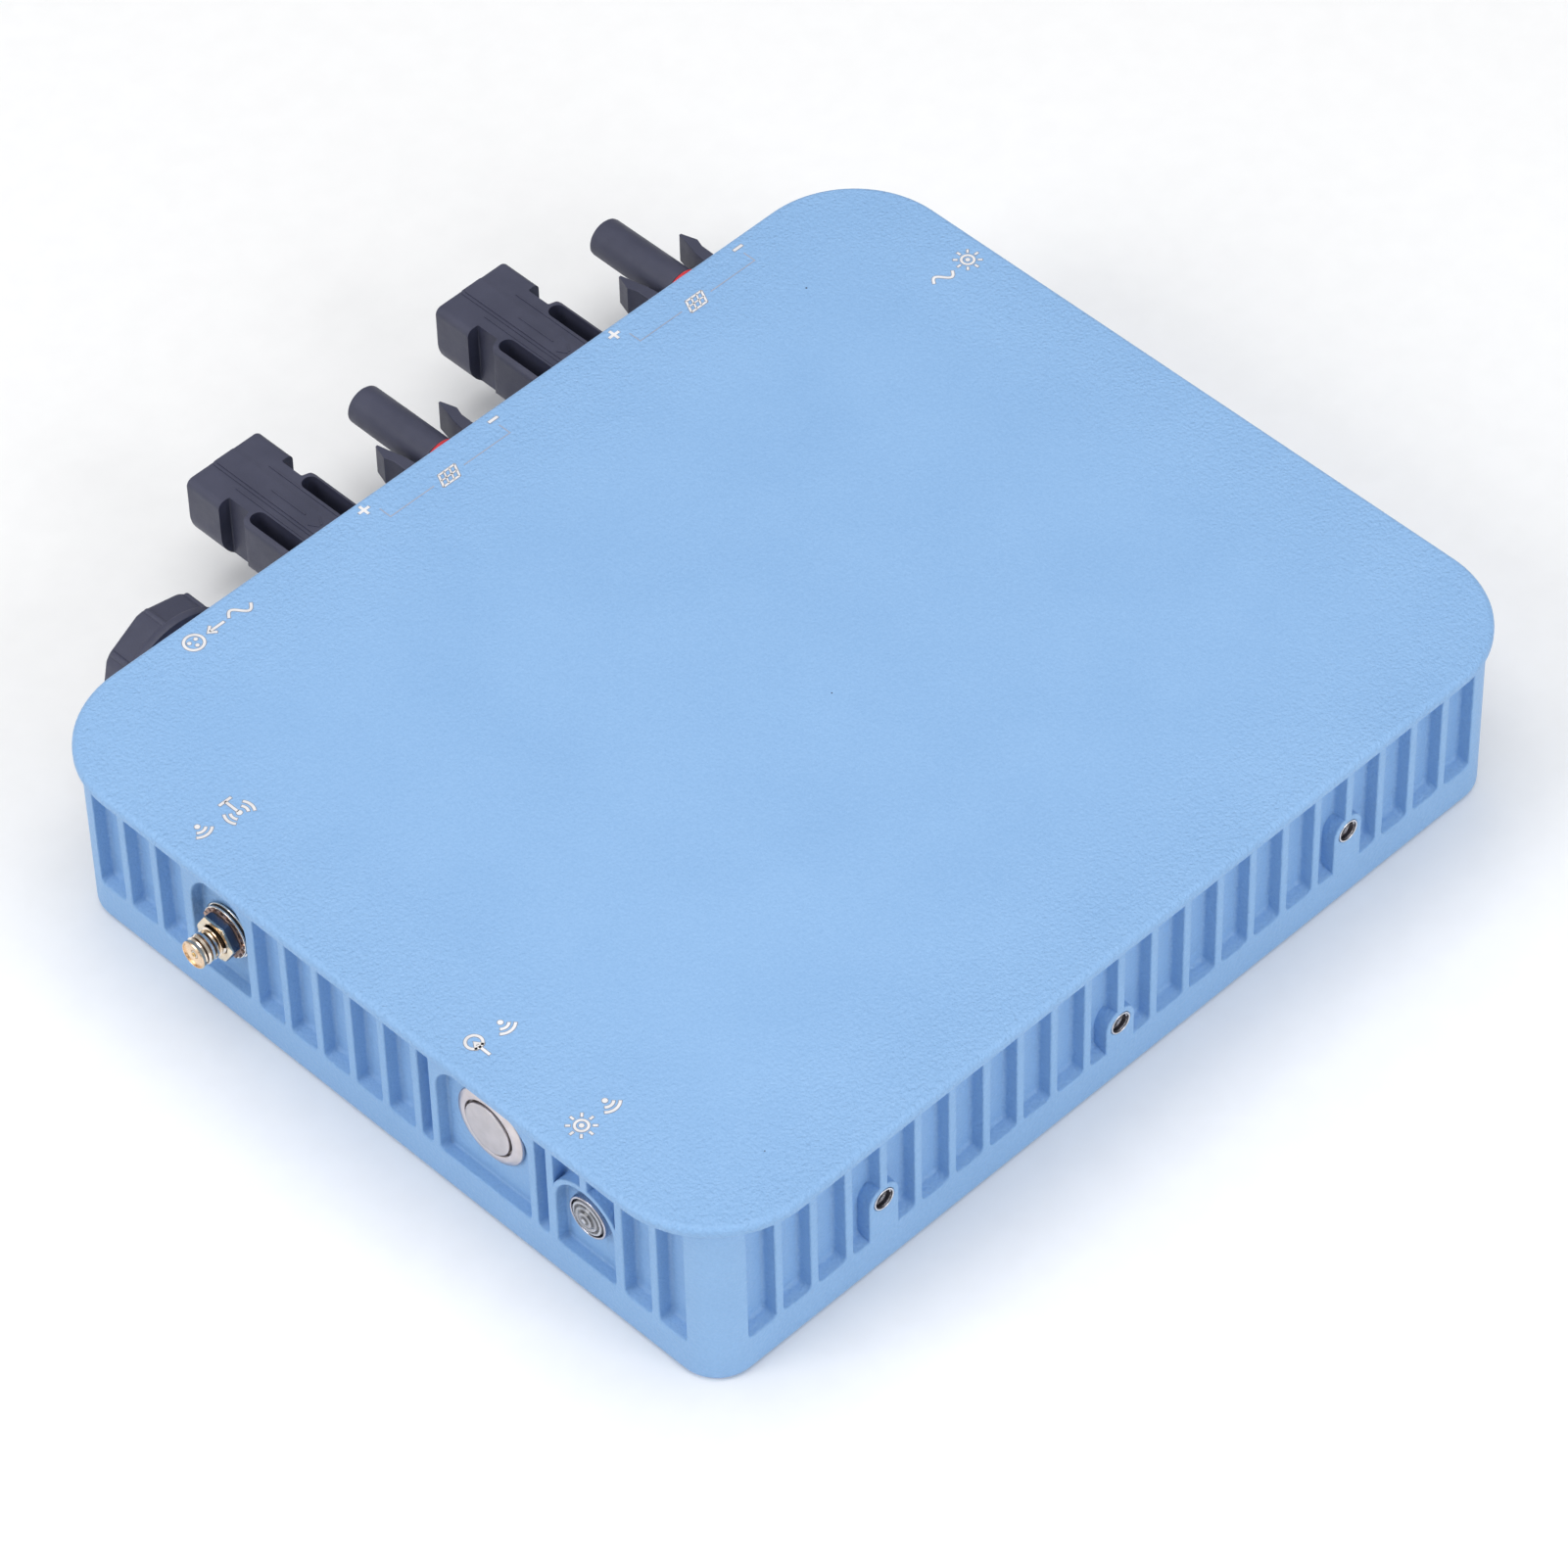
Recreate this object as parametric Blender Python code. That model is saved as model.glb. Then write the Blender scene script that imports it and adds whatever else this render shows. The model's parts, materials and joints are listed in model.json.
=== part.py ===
"""Grid-tied micro inverter: a ribbed die-cast tray under a flat lid, with its solar, AC and antenna sockets.

The housing stands on the floor plane, centred on the world's Z axis. The connectors leave through the
-Y wall, the antenna socket, push button and first lamp through the +X wall, the second lamp through
the -X wall, and the three bracket threads are in the +Y wall.
"""

import math

import bmesh
import bpy
from mathutils import Euler, Vector

MM = 0.001
GAP = 0.3 * MM

# Housing: everything on its walls is spaced by the pitch of the ribs.
PITCH = 9.0 * MM
BODY_HALF_X = 11.83 * PITCH
BODY_HALF_Y = 9.75 * PITCH
BODY_HEIGHT = 42.7 * MM
BODY_CORNER = 8.6 * MM
BODY_FOOT_ROUND = 1.8 * MM
WALL = 7.0 * MM
FLOOR = 3.0 * MM
CAVITY_CORNER = 5.0 * MM

# Lid
LID_OVERHANG = 5.0 * MM
LID_CORNER = 22.8 * MM
LID_LOW = BODY_HEIGHT + GAP
LID_THICKNESS = 2.3 * MM
LID_EDGE_ROUND = 1.2 * MM
LID_TOP = LID_LOW + LID_THICKNESS

# Pockets between the ribs
RIB_WIDTH = 0.19 * PITCH
POCKET_DEPTH = 3.3 * MM
SILL = 9.3 * MM
SILL_RISE = 0.3 * MM
RIBS_ALONG_Y_WALL = 11
RIBS_ALONG_X_WALL = 9

# Recesses that hold the antenna socket, the button and the lamps
RECESS_DEPTH = 2.9 * MM
ANTENNA_RECESS_TOP = 34.6 * MM
BUTTON_RECESS_TOP = 34.0 * MM
RECESS_WALL_X = BODY_HALF_X - RECESS_DEPTH
ANTENNA_Y = -5.0 * PITCH
ANTENNA_Z = 21.8 * MM
ANTENNA_RECESS_HALF = 7.65 * MM
BUTTON_Y = 3.0 * PITCH
BUTTON_Z = 24.2 * MM
BUTTON_RECESS_HALF = 12.35 * MM
LAMP_Y = 6.0 * PITCH
LAMP_Z = 22.0 * MM
SECOND_LAMP_Y = -6.0 * PITCH
ARCH_RADIUS = 7.7 * MM
ARCH_WALL = 1.2 * MM

# Connectors on the -Y wall
CONNECTOR_Z = 21.2 * MM
PLUS_X = (25.4 * MM, -42.1 * MM)
MINUS_X = (-9.3 * MM, -76.8 * MM)
AC_X = 66.2 * MM
STEM_RADIUS = 7.0 * MM
AC_STEM_RADIUS = 9.5 * MM
ARM_HEIGHT = 7.6 * MM

# Bracket threads on the +Y wall: (rib number, height)
INSERTS = ((7, 18.8 * MM), (0, 15.4 * MM), (-7, 18.8 * MM))
INSERT_RADIUS = 2.5 * MM
INSERT_LENGTH = 6.4 * MM
BOSS_HALF = 0.42 * PITCH

# Lid screws stand in columns at the cavity's corners
COLUMN_RADIUS = 5.4 * MM
COLUMN_X = BODY_HALF_X - WALL - 6.5 * MM
COLUMN_Y = BODY_HALF_Y - WALL - 6.5 * MM
COLUMN_TOP = 38.0 * MM
COUNTERBORE_DEPTH = 22.0 * MM

# Circuit board
BOARD_X = (-88.0 * MM, 78.0 * MM)
BOARD_Y = (-62.0 * MM, 66.0 * MM)
BOARD_LOW = 10.0 * MM
BOARD_THICKNESS = 1.6 * MM
BOARD_TOP = BOARD_LOW + BOARD_THICKNESS
BOARD_INSET = 6.0 * MM

ROUND = 24

# Rotations that turn local +Z to the outside of each wall
OUT_PLUS_X = Euler((0.0, math.pi / 2, 0.0))
OUT_MINUS_X = Euler((0.0, -math.pi / 2, 0.0))
OUT_PLUS_Y = Euler((-math.pi / 2, 0.0, 0.0))
OUT_MINUS_Y = Euler((math.pi / 2, 0.0, 0.0))
UPRIGHT = Euler((0.0, 0.0, 0.0))

# Finishes: linear base colour, roughness, metallic
FINISHES = {
    "blue_coat": ((0.27, 0.47, 0.79), 0.55, 0.0),
    "dark_plastic": ((0.055, 0.062, 0.095), 0.50, 0.0),
    "black_rubber": ((0.02, 0.02, 0.02), 0.75, 0.0),
    "red_rubber": ((0.60, 0.03, 0.04), 0.55, 0.0),
    "white_plastic": ((0.80, 0.79, 0.75), 0.40, 0.0),
    "clear_lens": ((0.80, 0.84, 0.88), 0.10, 0.0),
    "gold_plate": ((0.83, 0.60, 0.28), 0.28, 1.0),
    "nickel": ((0.62, 0.60, 0.57), 0.30, 1.0),
    "stainless": ((0.63, 0.60, 0.60), 0.32, 1.0),
    "tin": ((0.70, 0.70, 0.71), 0.35, 1.0),
    "board_green": ((0.02, 0.16, 0.07), 0.45, 0.0),
    "ferrite": ((0.05, 0.05, 0.055), 0.60, 0.0),
    "capacitor_sleeve": ((0.03, 0.04, 0.07), 0.40, 0.0),
    "relay_case": ((0.03, 0.12, 0.35), 0.40, 0.0),
}


def clear_scene():
    """Removes whatever the file holds."""
    for old in list(bpy.data.objects):
        bpy.data.objects.remove(old, do_unlink=True)


def finish_material(finish):
    """The Principled material of a finish, made once."""
    found = bpy.data.materials.get(finish)
    if found:
        return found
    colour, roughness, metallic = FINISHES[finish]
    made = bpy.data.materials.new(finish)
    made.use_nodes = True
    shader = made.node_tree.nodes["Principled BSDF"]
    shader.inputs["Base Color"].default_value = (*colour, 1.0)
    shader.inputs["Roughness"].default_value = roughness
    shader.inputs["Metallic"].default_value = metallic
    return made


# Outlines: lists of (x, y), anticlockwise, with as many points as their neighbours in a skin.


def circle(radius, steps=ROUND, start=0.0):
    """A circle whose first point is start steps past the +X direction."""
    turns = [2 * math.pi * (step + start) / steps for step in range(steps)]
    return [(radius * math.cos(turn), radius * math.sin(turn)) for turn in turns]


def round_section(radius):
    """A circle that matches the 28 points of a rounded rectangle, corner for corner."""
    return circle(radius, 28, 0.5)


def polygon_round(across, corner, sides, steps=ROUND):
    """A regular polygon whose corners are cut back to the radius corner."""
    outline = []
    for step in range(steps):
        turn = 2 * math.pi * step / steps
        from_middle = (turn % (2 * math.pi / sides)) - math.pi / sides
        radius = min(across / math.cos(from_middle), corner)
        outline.append((radius * math.cos(turn), radius * math.sin(turn)))
    return outline


def rounded_rectangle(half_x, half_y, radius, steps=6, low_radius=None):
    """A rectangle with steps + 1 points round each corner. Its two lower corners may have their own radius."""
    outline = []
    for quarter, (side_x, side_y) in enumerate(((1, 1), (-1, 1), (-1, -1), (1, -1))):
        bend = low_radius if low_radius and side_y < 0 else radius
        for step in range(steps + 1):
            turn = math.pi / 2 * (quarter + step / steps)
            x = side_x * (half_x - bend) + bend * math.cos(turn)
            y = side_y * (half_y - bend) + bend * math.sin(turn)
            outline.append((x, y))
    return outline


# Solids


def skin(bm, sections, closed=False):
    """Joins outlines, given as (height, outline), into one closed solid.

    A closed skin comes back to its first outline, as the wall of a tube does. Any other is capped.
    """
    rings = [[bm.verts.new((x, y, z)) for x, y in outline] for z, outline in sections]
    count = len(rings[0])
    following = rings[1:] + rings[:1] if closed else rings[1:]
    for lower, upper in zip(rings, following):
        for index in range(count):
            after = (index + 1) % count
            bm.faces.new((lower[index], lower[after], upper[after], upper[index]))
    if not closed:
        bm.faces.new(rings[0])
        bm.faces.new(rings[-1])


def turned(bm, profile, steps=ROUND, closed=False):
    """A solid of revolution about Z from (radius, height) points."""
    skin(bm, [(height, circle(radius, steps)) for radius, height in profile], closed)


def extruded(bm, outline, low, high):
    skin(bm, [(low, outline), (high, outline)])


def block(bm, low, high):
    """A box between two corners."""
    outline = [(low[0], low[1]), (high[0], low[1]), (high[0], high[1]), (low[0], high[1])]
    extruded(bm, outline, low[2], high[2])


def place_mesh(name, bm, finish=None, location=(0, 0, 0), rotation=UPRIGHT):
    """Turns the bmesh into an object. One with no finish is a cutter or an adder for a Boolean."""
    bmesh.ops.recalc_face_normals(bm, faces=bm.faces)
    mesh = bpy.data.meshes.new(name)
    bm.to_mesh(mesh)
    bm.free()
    obj = bpy.data.objects.new(name, mesh)
    bpy.context.scene.collection.objects.link(obj)
    obj.location = location
    obj.rotation_euler = rotation
    if finish:
        mesh.materials.append(finish_material(finish))
        mesh.shade_smooth()
        mesh.set_sharp_from_angle(angle=math.radians(32))
    else:
        obj.hide_render = True
        obj.display_type = "WIRE"
    return obj


def combine(target, tool, operation):
    """Adds the Boolean of one operand to the target."""
    modifier = target.modifiers.new(tool.name, "BOOLEAN")
    modifier.object = tool
    modifier.operation = operation
    modifier.solver = "EXACT"


def turned_object(name, profile, finish, location, rotation, steps=ROUND, closed=False):
    bm = bmesh.new()
    turned(bm, profile, steps, closed)
    return place_mesh(name, bm, finish, location, rotation)


def skinned_object(name, sections, finish, location, rotation, closed=False):
    bm = bmesh.new()
    skin(bm, sections, closed)
    return place_mesh(name, bm, finish, location, rotation)


def hex_nut(name, across_flats, bore, thickness, finish, location, rotation, steps=ROUND):
    """A hexagon nut with its lower face at the location, chamfered at both faces."""
    apothem = across_flats / 2
    corner = apothem / math.cos(math.pi / 6)
    chamfer = 0.06 * across_flats
    face = polygon_round(apothem - chamfer / 2, corner - chamfer, 6, steps)
    waist = polygon_round(apothem, corner, 6, steps)
    inner = circle(bore / math.cos(math.pi / steps), steps)
    sections = [
        (0, face),
        (chamfer / 2, waist),
        (thickness - chamfer / 2, waist),
        (thickness, face),
        (thickness, inner),
        (0, inner),
    ]
    return skinned_object(name, sections, finish, location, rotation, closed=True)


# Housing


class WallSide:
    """A wall's outer face: u runs along it, w goes into it and z is up."""

    def __init__(self, normal, along, half):
        self.normal = Vector(normal)
        self.along = Vector(along)
        self.half = half

    def point(self, u, w, z):
        spot = self.normal * (self.half - w) + self.along * u
        return (spot.x, spot.y, z)


SIDES = {
    "+X": WallSide((1, 0), (0, 1), BODY_HALF_X),
    "-X": WallSide((-1, 0), (0, 1), BODY_HALF_X),
    "+Y": WallSide((0, 1), (1, 0), BODY_HALF_Y),
    "-Y": WallSide((0, -1), (1, 0), BODY_HALF_Y),
}


def sweep_along(bm, side, section, start, end):
    """A prism along the wall from its (w, z) section."""
    ends = [[bm.verts.new(side.point(u, w, z)) for w, z in section] for u in (start, end)]
    close_prism(bm, ends)


def sweep_inward(bm, side, outline, start, end):
    """A prism into the wall from its (u, z) outline."""
    ends = [[bm.verts.new(side.point(u, w, z)) for u, z in outline] for w in (start, end)]
    close_prism(bm, ends)


def close_prism(bm, ends):
    first, last = ends
    for index in range(len(first)):
        after = (index + 1) % len(first)
        bm.faces.new((first[index], first[after], last[after], last[index]))
    bm.faces.new(first)
    bm.faces.new(last)


def pocket(bm, side, start, end):
    """One pocket between two ribs: open at the face and at the top, with a sill that rises a little."""
    top = BODY_HEIGHT + 2 * MM
    section = [
        (-MM, SILL - 0.1 * MM),
        (0.25 * POCKET_DEPTH, SILL + 0.2 * SILL_RISE),
        (0.75 * POCKET_DEPTH, SILL + 0.6 * SILL_RISE),
        (POCKET_DEPTH, SILL + SILL_RISE),
        (POCKET_DEPTH, top),
        (-MM, top),
    ]
    sweep_along(bm, side, section, start, end)


def arched_outline(centre, half, low, high, radius, steps=6):
    """An opening with a flat sill and rounded upper corners, as (u, z)."""
    outline = [(centre - half, low), (centre + half, low)]
    for start, lean in ((0, 1), (math.pi / 2, -1)):
        for step in range(steps + 1):
            turn = start + math.pi / 2 * step / steps
            u = centre + lean * (half - radius) + radius * math.cos(turn)
            outline.append((u, high - radius + radius * math.sin(turn)))
    return outline


def pocket_beside_arch(bm, side, centre, lean):
    """The short pocket between a lamp's arch and the lid, on one side of the middle rib."""
    reach = ARCH_RADIUS + ARCH_WALL
    inner = RIB_WIDTH / 2
    outer = PITCH - RIB_WIDTH / 2
    top = BODY_HEIGHT + 2 * MM
    outline = []
    for step in range(6):
        u = inner + (outer - inner) * step / 5
        outline.append((centre + lean * u, LAMP_Z + math.sqrt(reach**2 - min(u, reach) ** 2)))
    outline += [(centre + lean * outer, top), (centre + lean * inner, top)]
    sweep_inward(bm, side, outline, -MM, POCKET_DEPTH)


def free_of(centre, spots):
    """True when no (spot, reach) pair covers the centre."""
    return all(abs(centre - spot) > reach for spot, reach in spots)


def cut_pockets(bm):
    """Every pocket of the four walls, with what interrupts their rows."""
    half_open = (PITCH - RIB_WIDTH) / 2
    antenna = (ANTENNA_Y, PITCH)
    button = (BUTTON_Y, 2 * PITCH)
    connectors = [(x, 1.35 * PITCH) for x in PLUS_X + MINUS_X]
    connectors.append((AC_X, 1.9 * PITCH))
    rows = {
        "+X": (RIBS_ALONG_X_WALL, [antenna, button, (LAMP_Y, PITCH)]),
        "-X": (RIBS_ALONG_X_WALL, [(SECOND_LAMP_Y, PITCH)]),
        "+Y": (RIBS_ALONG_Y_WALL, []),
        "-Y": (RIBS_ALONG_Y_WALL, connectors),
    }
    for name, (count, spots) in rows.items():
        for number in range(-count, count):
            centre = (number + 0.5) * PITCH
            if free_of(centre, spots):
                pocket(bm, SIDES[name], centre - half_open, centre + half_open)
    for lean in (-1, 1):
        outer = BUTTON_Y + lean * (2 * PITCH - RIB_WIDTH / 2)
        inner = BUTTON_Y + lean * (BUTTON_RECESS_HALF + RIB_WIDTH)
        pocket(bm, SIDES["+X"], min(outer, inner), max(outer, inner))
    for name, centre in (("+X", LAMP_Y), ("-X", SECOND_LAMP_Y)):
        for lean in (-1, 1):
            pocket_beside_arch(bm, SIDES[name], centre, lean)


def cut_recesses(bm):
    """The arched recesses round the antenna socket, the button and the lamps."""
    shapes = (
        ("+X", ANTENNA_Y, ANTENNA_RECESS_HALF, ANTENNA_RECESS_TOP, 7.4 * MM),
        ("+X", BUTTON_Y, BUTTON_RECESS_HALF, BUTTON_RECESS_TOP, 6.5 * MM),
        ("+X", LAMP_Y, ARCH_RADIUS, LAMP_Z + ARCH_RADIUS, ARCH_RADIUS * 0.98),
        ("-X", SECOND_LAMP_Y, ARCH_RADIUS, LAMP_Z + ARCH_RADIUS, ARCH_RADIUS * 0.98),
    )
    for name, centre, half, high, radius in shapes:
        outline = arched_outline(centre, half, SILL, high, radius)
        sweep_inward(bm, SIDES[name], outline, -MM, RECESS_DEPTH)


def wall_holes():
    """(side, place along the wall, height, radius) of each hole through a wall."""
    holes = [
        ("+X", ANTENNA_Y, ANTENNA_Z, 3.6 * MM),
        ("+X", BUTTON_Y, BUTTON_Z, 8.2 * MM),
        ("+X", LAMP_Y, LAMP_Z, 4.2 * MM),
        ("-X", SECOND_LAMP_Y, LAMP_Z, 4.2 * MM),
        ("-Y", AC_X, CONNECTOR_Z, AC_STEM_RADIUS + GAP),
    ]
    holes += [("-Y", x, CONNECTOR_Z, STEM_RADIUS + GAP) for x in PLUS_X + MINUS_X]
    return holes


def board_screw_places():
    xs = (BOARD_X[0] + BOARD_INSET, BOARD_X[1] - BOARD_INSET)
    ys = (BOARD_Y[0] + BOARD_INSET, BOARD_Y[1] - BOARD_INSET)
    return [(x, y) for x in xs for y in ys]


def column_places():
    return [(x, y) for x in (-COLUMN_X, COLUMN_X) for y in (-COLUMN_Y, COLUMN_Y)]


def add_inner_metal(bm):
    """What stands inside the cavity: screw columns and board posts."""
    for x, y in column_places():
        outline = [(x + dx, y + dy) for dx, dy in circle(COLUMN_RADIUS)]
        extruded(bm, outline, FLOOR - MM, COLUMN_TOP)
    for x, y in board_screw_places():
        outline = [(x + dx, y + dy) for dx, dy in circle(4.0 * MM, 12)]
        extruded(bm, outline, FLOOR - MM, BOARD_LOW - GAP)


def add_bracket_bosses(bm):
    """The arched bosses on the +Y wall, flush with the ribs, and the metal behind them."""
    for rib, height in INSERTS:
        outline = arched_outline(rib * PITCH, BOSS_HALF, SILL - MM, height + BOSS_HALF, BOSS_HALF * 0.98)
        sweep_inward(bm, SIDES["+Y"], outline, 0.02 * MM, WALL + 3 * MM)


def cut_round_holes(bm):
    """Wall holes, thread holes, screw holes of the columns and of the board posts."""
    for name, u, z, radius in wall_holes():
        outline = [(u + du, z + dz) for du, dz in circle(radius)]
        sweep_inward(bm, SIDES[name], outline, -2 * MM, WALL + 4 * MM)
    for rib, height in INSERTS:
        outline = [(rib * PITCH + du, height + dz) for du, dz in circle(INSERT_RADIUS + GAP)]
        sweep_inward(bm, SIDES["+Y"], outline, -2 * MM, INSERT_LENGTH + 2 * GAP)
    for x, y in column_places():
        wide = [(x + dx, y + dy) for dx, dy in circle(4.2 * MM)]
        narrow = [(x + dx, y + dy) for dx, dy in circle(2.3 * MM)]
        sections = [(-MM, wide), (COUNTERBORE_DEPTH, wide), (COUNTERBORE_DEPTH, narrow)]
        skin(bm, sections + [(COLUMN_TOP + MM, narrow)])
    for x, y in board_screw_places():
        outline = [(x + dx, y + dy) for dx, dy in circle(1.8 * MM, 12)]
        extruded(bm, outline, FLOOR + MM, BOARD_LOW + MM)


def gasket_outline(inset):
    return rounded_rectangle(BODY_HALF_X - inset, BODY_HALF_Y - inset, BODY_CORNER)


GROOVE = (4.5 * MM, 6.2 * MM)
GROOVE_DEPTH = 1.5 * MM


def build_tray():
    """The die-cast tray: a rounded box, hollowed, with its pockets, recesses and holes."""
    bm = bmesh.new()
    sections = []
    for step in range(4):
        turn = math.pi / 2 * step / 3
        inset = BODY_FOOT_ROUND * (1 - math.sin(turn))
        outline = rounded_rectangle(BODY_HALF_X - inset, BODY_HALF_Y - inset, BODY_CORNER - inset)
        sections.append((BODY_FOOT_ROUND * (1 - math.cos(turn)), outline))
    full = rounded_rectangle(BODY_HALF_X, BODY_HALF_Y, BODY_CORNER)
    skin(bm, sections + [(BODY_HEIGHT, full)])
    tray = place_mesh("housing_tray", bm, "blue_coat")

    bm = bmesh.new()
    cavity = rounded_rectangle(BODY_HALF_X - WALL, BODY_HALF_Y - WALL, CAVITY_CORNER, 4)
    extruded(bm, cavity, FLOOR, BODY_HEIGHT + MM)
    combine(tray, place_mesh("cut_cavity", bm), "DIFFERENCE")

    bm = bmesh.new()
    add_inner_metal(bm)
    combine(tray, place_mesh("add_columns_and_pads", bm), "UNION")

    bm = bmesh.new()
    cut_pockets(bm)
    cut_recesses(bm)
    combine(tray, place_mesh("cut_pockets", bm), "DIFFERENCE")

    bm = bmesh.new()
    add_bracket_bosses(bm)
    combine(tray, place_mesh("add_bosses", bm), "UNION")

    bm = bmesh.new()
    cut_round_holes(bm)
    groove_high = BODY_HEIGHT + MM
    groove_low = BODY_HEIGHT - GROOVE_DEPTH
    outer = gasket_outline(GROOVE[0])
    inner = gasket_outline(GROOVE[1])
    groove = [(groove_low, outer), (groove_high, outer), (groove_high, inner), (groove_low, inner)]
    skin(bm, groove, closed=True)
    combine(tray, place_mesh("cut_holes_and_groove", bm), "DIFFERENCE")


def build_gasket():
    low = BODY_HEIGHT - GROOVE_DEPTH + GAP
    outer = gasket_outline(GROOVE[0] + GAP)
    inner = gasket_outline(GROOVE[1] - GAP)
    sections = [(low, outer), (BODY_HEIGHT, outer), (BODY_HEIGHT, inner), (low, inner)]
    skinned_object("lid_gasket", sections, "black_rubber", (0, 0, 0), UPRIGHT, closed=True)


def build_lid():
    """The flat lid with its rounded upper edge and the blind bosses that take the screws."""
    half_x = BODY_HALF_X + LID_OVERHANG
    half_y = BODY_HALF_Y + LID_OVERHANG
    insets = [(LID_LOW, 0.3 * MM), (LID_LOW + 0.3 * MM, 0)]
    for step in range(5):
        turn = math.pi / 2 * step / 4
        height = LID_TOP - LID_EDGE_ROUND * (1 - math.sin(turn))
        insets.append((height, LID_EDGE_ROUND * (1 - math.cos(turn))))
    sections = []
    for height, inset in insets:
        outline = rounded_rectangle(half_x - inset, half_y - inset, LID_CORNER - inset, 10)
        sections.append((height, outline))
    bm = bmesh.new()
    skin(bm, sections)
    lid = place_mesh("lid_plate", bm, "blue_coat")

    bosses = bmesh.new()
    holes = bmesh.new()
    for x, y in column_places():
        extruded(bosses, [(x + dx, y + dy) for dx, dy in circle(5.2 * MM)], COLUMN_TOP + GAP, LID_LOW + MM)
        extruded(holes, [(x + dx, y + dy) for dx, dy in circle(2.3 * MM)], COLUMN_TOP - MM, LID_LOW - MM)
    combine(lid, place_mesh("add_lid_bosses", bosses), "UNION")
    combine(lid, place_mesh("cut_lid_bosses", holes), "DIFFERENCE")


def screw_profile(radius, length, head_radius, head_height):
    """A pan head from z = -head_height to 0, and a shank up to the length, as (radius, z)."""
    return [
        (head_radius * 0.80, -head_height),
        (head_radius, -0.65 * head_height),
        (head_radius, 0),
        (radius, 0),
        (radius, length - 0.6 * radius),
        (0.6 * radius, length),
    ]


def screw_with_socket(name, profile, socket_radius, socket_depth, location, rotation):
    """A screw whose head carries a hexagon socket."""
    screw = turned_object(name, profile, "stainless", location, rotation, steps=18)
    head_face = profile[0][1]
    bm = bmesh.new()
    extruded(bm, circle(socket_radius, 6), head_face - MM, head_face + socket_depth)
    combine(screw, place_mesh(f"cut_{name}", bm, None, location, rotation), "DIFFERENCE")


def build_lid_screws():
    for number, (x, y) in enumerate(column_places(), start=1):
        profile = screw_profile(2.0 * MM, 18.5 * MM, 3.8 * MM, 2.6 * MM)
        place = (x, y, COUNTERBORE_DEPTH - GAP)
        screw_with_socket(f"lid_screw_{number}", profile, 1.5 * MM, 1.5 * MM, place, UPRIGHT)


def build_bracket_inserts():
    for number, (rib, height) in enumerate(INSERTS, start=1):
        profile = [
            (INSERT_RADIUS - 0.2 * MM, -INSERT_LENGTH),
            (INSERT_RADIUS, -INSERT_LENGTH + 0.3 * MM),
            (INSERT_RADIUS, -0.3 * MM),
            (INSERT_RADIUS - 0.2 * MM, 0),
            (1.75 * MM, 0),
            (1.75 * MM, -INSERT_LENGTH),
        ]
        place = (rib * PITCH, BODY_HALF_Y, height)
        turned_object(f"bracket_insert_{number}", profile, "stainless", place, OUT_PLUS_Y, closed=True)


# Antenna socket: distances along +X from the recess wall


def build_antenna_socket():
    place = Vector((RECESS_WALL_X, ANTENNA_Y, ANTENNA_Z))
    inner_face = -(WALL - RECESS_DEPTH)
    barrel = 3.17 * MM
    tip = 9.8 * MM
    bore = 2.6 * MM
    flange = [
        (inner_face - 2.4 * MM, polygon_round(4.6 * MM, 5.2 * MM, 6)),
        (inner_face - GAP, polygon_round(4.6 * MM, 5.2 * MM, 6)),
        (inner_face - GAP, circle(barrel)),
        (tip - 0.5 * MM, circle(barrel)),
        (tip, circle(barrel - 0.4 * MM)),
        (tip, circle(bore)),
        (tip - 6.0 * MM, circle(bore)),
    ]
    skinned_object("antenna_jack_body", flange, "gold_plate", place, OUT_PLUS_X)
    pin = 0.5 * MM
    rear = tip - 5.7 * MM
    front = tip - 0.7 * MM
    sleeve = [(bore - GAP, rear), (bore - GAP, front), (pin + GAP, front), (pin + GAP, rear)]
    turned_object("antenna_insulator", sleeve, "white_plastic", place, OUT_PLUS_X, closed=True)
    contact = [(pin, rear), (pin, front), (0.5 * pin, front + 0.4 * MM)]
    turned_object("antenna_contact", contact, "gold_plate", place, OUT_PLUS_X, steps=12)
    rings = (
        ("antenna_seal_ring", 5.8 * MM, 0.3 * MM, 0.9 * MM, "black_rubber"),
        ("antenna_lock_washer", 6.0 * MM, 1.2 * MM, 1.8 * MM, "nickel"),
    )
    for name, radius, low, high, finish in rings:
        edge = 0.2 * MM
        profile = [
            (radius - edge, low),
            (radius, low + edge),
            (radius, high - edge),
            (radius - edge, high),
            (barrel + GAP, high),
            (barrel + GAP, low),
        ]
        turned_object(name, profile, finish, place, OUT_PLUS_X, closed=True)
    nut_place = place + Vector((2.1 * MM, 0, 0))
    hex_nut("antenna_hex_nut", 9.0 * MM, barrel + GAP, 2.2 * MM, "gold_plate", nut_place, OUT_PLUS_X)


# Push button: distances along +X from the recess wall


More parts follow.
